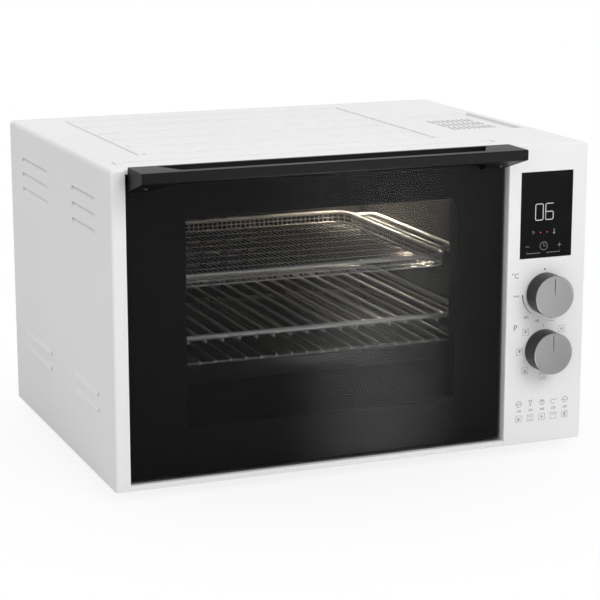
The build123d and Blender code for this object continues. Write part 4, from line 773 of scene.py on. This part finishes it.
def panelPrintArrays(p):
    front, back = p["front"], p["back"]
    x, upper, lower, columns = p["dialX"], p["upper"], p["lower"], p["columns"]
    top, arc, dots = p["topDot"], p["arc"], p["dots"]
    parts = [roundDot(x + top["shift"], upper + top["rise"], top["radius"], front, back)]
    parts += [letterArrays(*letter, front) for letter in p["letters"]]
    thick = np.linspace(*arc["angles"], arc["pieces"] + 1)
    for start, end, width in zip(thick[:-1], thick[1:], np.linspace(*arc["widths"], arc["pieces"])):
        piece = ringLine(x, upper, arc["radius"], start, end + arc["overlap"], 6)
        parts.append(barArrays([piece], width, front, back))
    for a in np.radians(np.arange(*dots["angles"])):
        dotX, dotH = x + arc["radius"] * math.cos(a), upper + arc["radius"] * math.sin(a)
        parts.append(roundDot(dotX, dotH, dots["radius"], front, back, 10))
    # a small box with a lid line between the dials, and a tick over the lower dial
    signs = [boxLine(240.6, 144.6, 6.0, 4.0), [(237.6, 146.0), (243.6, 146.0)],
             [(x, lower + 25.6), (x, lower + 29.4)]]
    for mode in p["modes"]:
        signs += modeSign(*mode)
    signs += foodSigns(columns)
    for column, kind in zip(columns, p["columnModes"]):
        signs += modeSign(kind, column, p["columnHeight"], p["columnSize"])
    parts += [letterArrays(heat, column, p["heatHeight"], p["heatSize"], front)
              for column, heat in zip(columns, p["heats"])]
    parts.append(barArrays(signs, p["line"], front, back))
    return joinArrays(*parts)


makePiece("panelPrints", panelPrintArrays(printPlace), finishes["printGrey"], "housing",
          smooth=False)

displayPlace = {
    "front": -0.06, "back": 0.04, "digitLine": 0.85, "signLine": 0.5, "markLine": 0.7, "stemLine": 0.9,
    "zero": (220.1, 269.5, 9.6, 18.4), "six": (232.9, 269.6, 9.6, 18.4),
    "redDots": ((222.2, 246.0, 0.75), (230.7, 246.1, 0.75)), "bulb": (239.6, 244.6, 1.2),
}


def digitLines(place, kind):
    # a digit drawn as rounded strokes inside its box: a full loop for 0, a half loop and a stem for 6
    x, h, width, height = place
    w, t = width / 2, height / 2
    top, cut = (h + t, 2.0) if kind == "0" else (h, 1.6)
    corners = [(x - w, 0, h - t), (x + w, 0, h - t), (x + w, 0, top), (x - w, 0, top)]
    loop = softCorners(corners, cut, 4, True)[:, [0, 2]]
    lines = [np.concatenate([loop, loop[:1]])]
    if kind == "6":
        stem = [(x - w, 0, h - t + 2), (x - w, 0, h + t), (x + w, 0, h + t)]
        lines.append(softCorners(stem, 2.0, 4)[:, [0, 2]])
    return lines


def displaySigns(p):
    # the two digits; the minus, plus, clock and underlines; and the small marks between them
    front, back = p["front"], p["back"]
    digits = digitLines(p["zero"], "0") + digitLines(p["six"], "6")
    bright = barArrays(digits, p["digitLine"], front, back)
    signs = [[(203.6, 230.6), (208.4, 230.6)], [(244.2, 230.5), (249.2, 230.5)],
             [(246.7, 228.0), (246.7, 233.0)], ringLine(226.7, 230.4, 4.6), [(226.7, 230.4), (226.7, 233.6)],
             [(226.7, 230.4), (229.0, 230.4)],
             [(205.2, 224.4), (205.2, 222.6), (222.4, 222.6)], [(230.6, 222.6), (247.1, 222.6), (247.1, 224.4)]]
    arrow = [(212.2, 245.0), (214.8, 246.6), (212.2, 248.2), (212.2, 245.0)]
    stem = [(239.6, 245.6), (239.6, 249.4)]
    dim = joinArrays(barArrays(signs, p["signLine"], front, back),
                     barArrays([arrow], p["markLine"], front, back),
                     barArrays([stem], p["stemLine"], front, back), roundDot(*p["bulb"], front, back, 12))
    red = joinArrays(*[roundDot(*dot, front, back, 12) for dot in p["redDots"]])
    return bright, dim, red


pieceNames = ("displayDigits", "displaySigns", "displayMarks")
for name, signs, glow in zip(pieceNames, displaySigns(displayPlace), ("litWhite", "litDim", "litRed")):
    makePiece(name, signs, finishes[glow], "housing", smooth=False)
print("panel prints and display signs made")

# Floor, light and camera
floorValues = {"half": 8.0, "near": 0.22, "far": 0.55, "least": 0.85}
half = floorValues["half"]
floorMesh = bpy.data.meshes.new("paleFloor")
floorCorners = [(-half, -half, 0), (half, -half, 0), (half, half, 0), (-half, half, 0)]
floorMesh.from_pydata(floorCorners, [], [(0, 1, 2, 3)])
paleFloor = bpy.data.objects.new("paleFloor", floorMesh)
bpy.context.scene.collection.objects.link(paleFloor)


def fadeFloor(finish, values):
    # the camera sees a share of plain white that grows from the least near the object to the whole beyond it
    tree = finish.node_tree
    reach = addVectorMath(tree, "LENGTH", addNode(tree, "TexCoord").outputs["Object"])
    share = addRange(tree, reach, values["near"], values["far"], values["least"], 1.0)
    seenShare = addMath(tree, "MULTIPLY", share, addNode(tree, "LightPath").outputs["Is Camera Ray"])
    blend = addNode(tree, "MixShader")
    surface, white = tree.nodes["Principled BSDF"].outputs[0], addNode(tree, "Emission").outputs[0]
    for place, item in enumerate((seenShare, surface, white)):
        tree.links.new(item, blend.inputs[place])
    tree.links.new(blend.outputs[0], tree.nodes["Material Output"].inputs["Surface"])


# A soft bright strip that only mirrors see: its picture stands upright in the door glass
mirrorStrip = {"foot": (-0.86, 1.77), "rise": (0.40, 0.455), "fall": (0.462, 0.505), "start": (-0.27, -0.24),
               "strength": 13.0}


def addMirrorStrip(finish, values):
    # q = (x - foot x) / (foot y - y) is the same along each line from the foot; the strip is a range of q,
    # and start keeps it in front of the object
    tree = finish.node_tree
    surface = tree.nodes["Material Output"].inputs["Surface"]
    before = surface.links[0].from_socket
    split = addNode(tree, "SeparateXYZ")
    tree.links.new(addNode(tree, "TexCoord").outputs["Object"], split.inputs[0])
    footX, footY = values["foot"]
    side = addMath(tree, "SUBTRACT", split.outputs["X"], footX)
    ahead = addMath(tree, "SUBTRACT", footY, split.outputs["Y"])
    ratio = addMath(tree, "DIVIDE", side, ahead)
    power = addMath(tree, "MULTIPLY", addRange(tree, ratio, *values["rise"], 0.0, 1.0),
                    addRange(tree, ratio, *values["fall"], 1.0, 0.0))
    power = addMath(tree, "MULTIPLY", power, addRange(tree, split.outputs["Y"], *values["start"], 1.0, 0.0))
    power = addMath(tree, "MULTIPLY", power, addNode(tree, "LightPath").outputs["Is Glossy Ray"])
    power = addMath(tree, "MULTIPLY", power, values["strength"])
    glow, both = addNode(tree, "Emission"), addNode(tree, "AddShader")
    tree.links.new(power, glow.inputs["Strength"])
    tree.links.new(before, both.inputs[0])
    tree.links.new(glow.outputs[0], both.inputs[1])
    tree.links.new(both.outputs[0], surface)


fadeFloor(finishes["floorFinish"], floorValues)
addMirrorStrip(finishes["floorFinish"], mirrorStrip)
floorMesh.materials.append(finishes["floorFinish"])

# Powers in watts, places and sizes in metres; the oven lamp stands at the bulb
lightValues = {
    "world": 0.72,
    "key": {"at": (1.0, -2.8, 2.2), "aim": (0.0, 0.0, 0.15), "size": 1.8, "power": 46.0},
    "fill": {"at": (-2.4, -1.4, 1.5), "aim": (0.0, 0.0, 0.15), "size": 1.8, "power": 4.5},
    "top": {"at": (0.0, 0.3, 2.6), "aim": (0.0, 0.0, 0.2), "size": 1.6, "power": 8.0},
    "oven": {"at": toRow([156.6, 318.0, 262.0]), "colour": (1.0, 0.88, 0.68), "size": 0.002, "power": 2.4},
}


def addLamp(name, kind, values):
    lamp = bpy.data.lights.new(name, kind)
    lamp.energy = values["power"]
    holder = bpy.data.objects.new(name, lamp)
    holder.location = values["at"]
    holder.visible_camera = False
    bpy.context.scene.collection.objects.link(holder)
    return lamp, holder


for name in ("key", "fill", "top"):
    values = lightValues[name]
    lamp, holder = addLamp(name + "Softbox", "AREA", values)
    lamp.size = values["size"]
    toAim = Vector(values["aim"]) - Vector(values["at"])
    holder.rotation_euler = toAim.to_track_quat("-Z", "Y").to_euler()
ovenLamp = addLamp("ovenLamp", "POINT", lightValues["oven"])[0]
ovenLamp.color, ovenLamp.shadow_soft_size = lightValues["oven"]["colour"], lightValues["oven"]["size"]

world = bpy.data.worlds.new("studio")
world.use_nodes = True
bpy.context.scene.world = world
tree = world.node_tree
background = tree.nodes["Background"]
background.inputs["Color"].default_value = (1.0, 1.0, 1.0, 1.0)
rays = addNode(tree, "LightPath").outputs
seen = addMath(tree, "MAXIMUM", rays["Is Camera Ray"], rays["Is Glossy Ray"])
seen = addMath(tree, "MAXIMUM", seen, rays["Is Transmission Ray"])
tree.links.new(addRange(tree, seen, 0.0, 1.0, lightValues["world"], 1.0), background.inputs["Strength"])

# Yaw and pitch in degrees, focal length in pixels of a picture 600 pixels wide
cameraValues = {"at": (-0.8597, -2.1436, 0.6814), "yaw": 22.035, "pitch": 12.756, "focal": 2001.1,
                "sensor": 36.0, "pixels": 600}
cameraData = bpy.data.cameras.new("camera")
cameraData.sensor_width = cameraValues["sensor"]
cameraData.lens = cameraValues["focal"] / cameraValues["pixels"] * cameraValues["sensor"]
camera = bpy.data.objects.new("camera", cameraData)
camera.location = cameraValues["at"]
camera.rotation_euler = (math.radians(90 - cameraValues["pitch"]), 0.0, -math.radians(cameraValues["yaw"]))
bpy.context.scene.collection.objects.link(camera)
bpy.context.scene.camera = camera
bpy.context.scene.view_settings.view_transform = "Standard"
print("stage made")
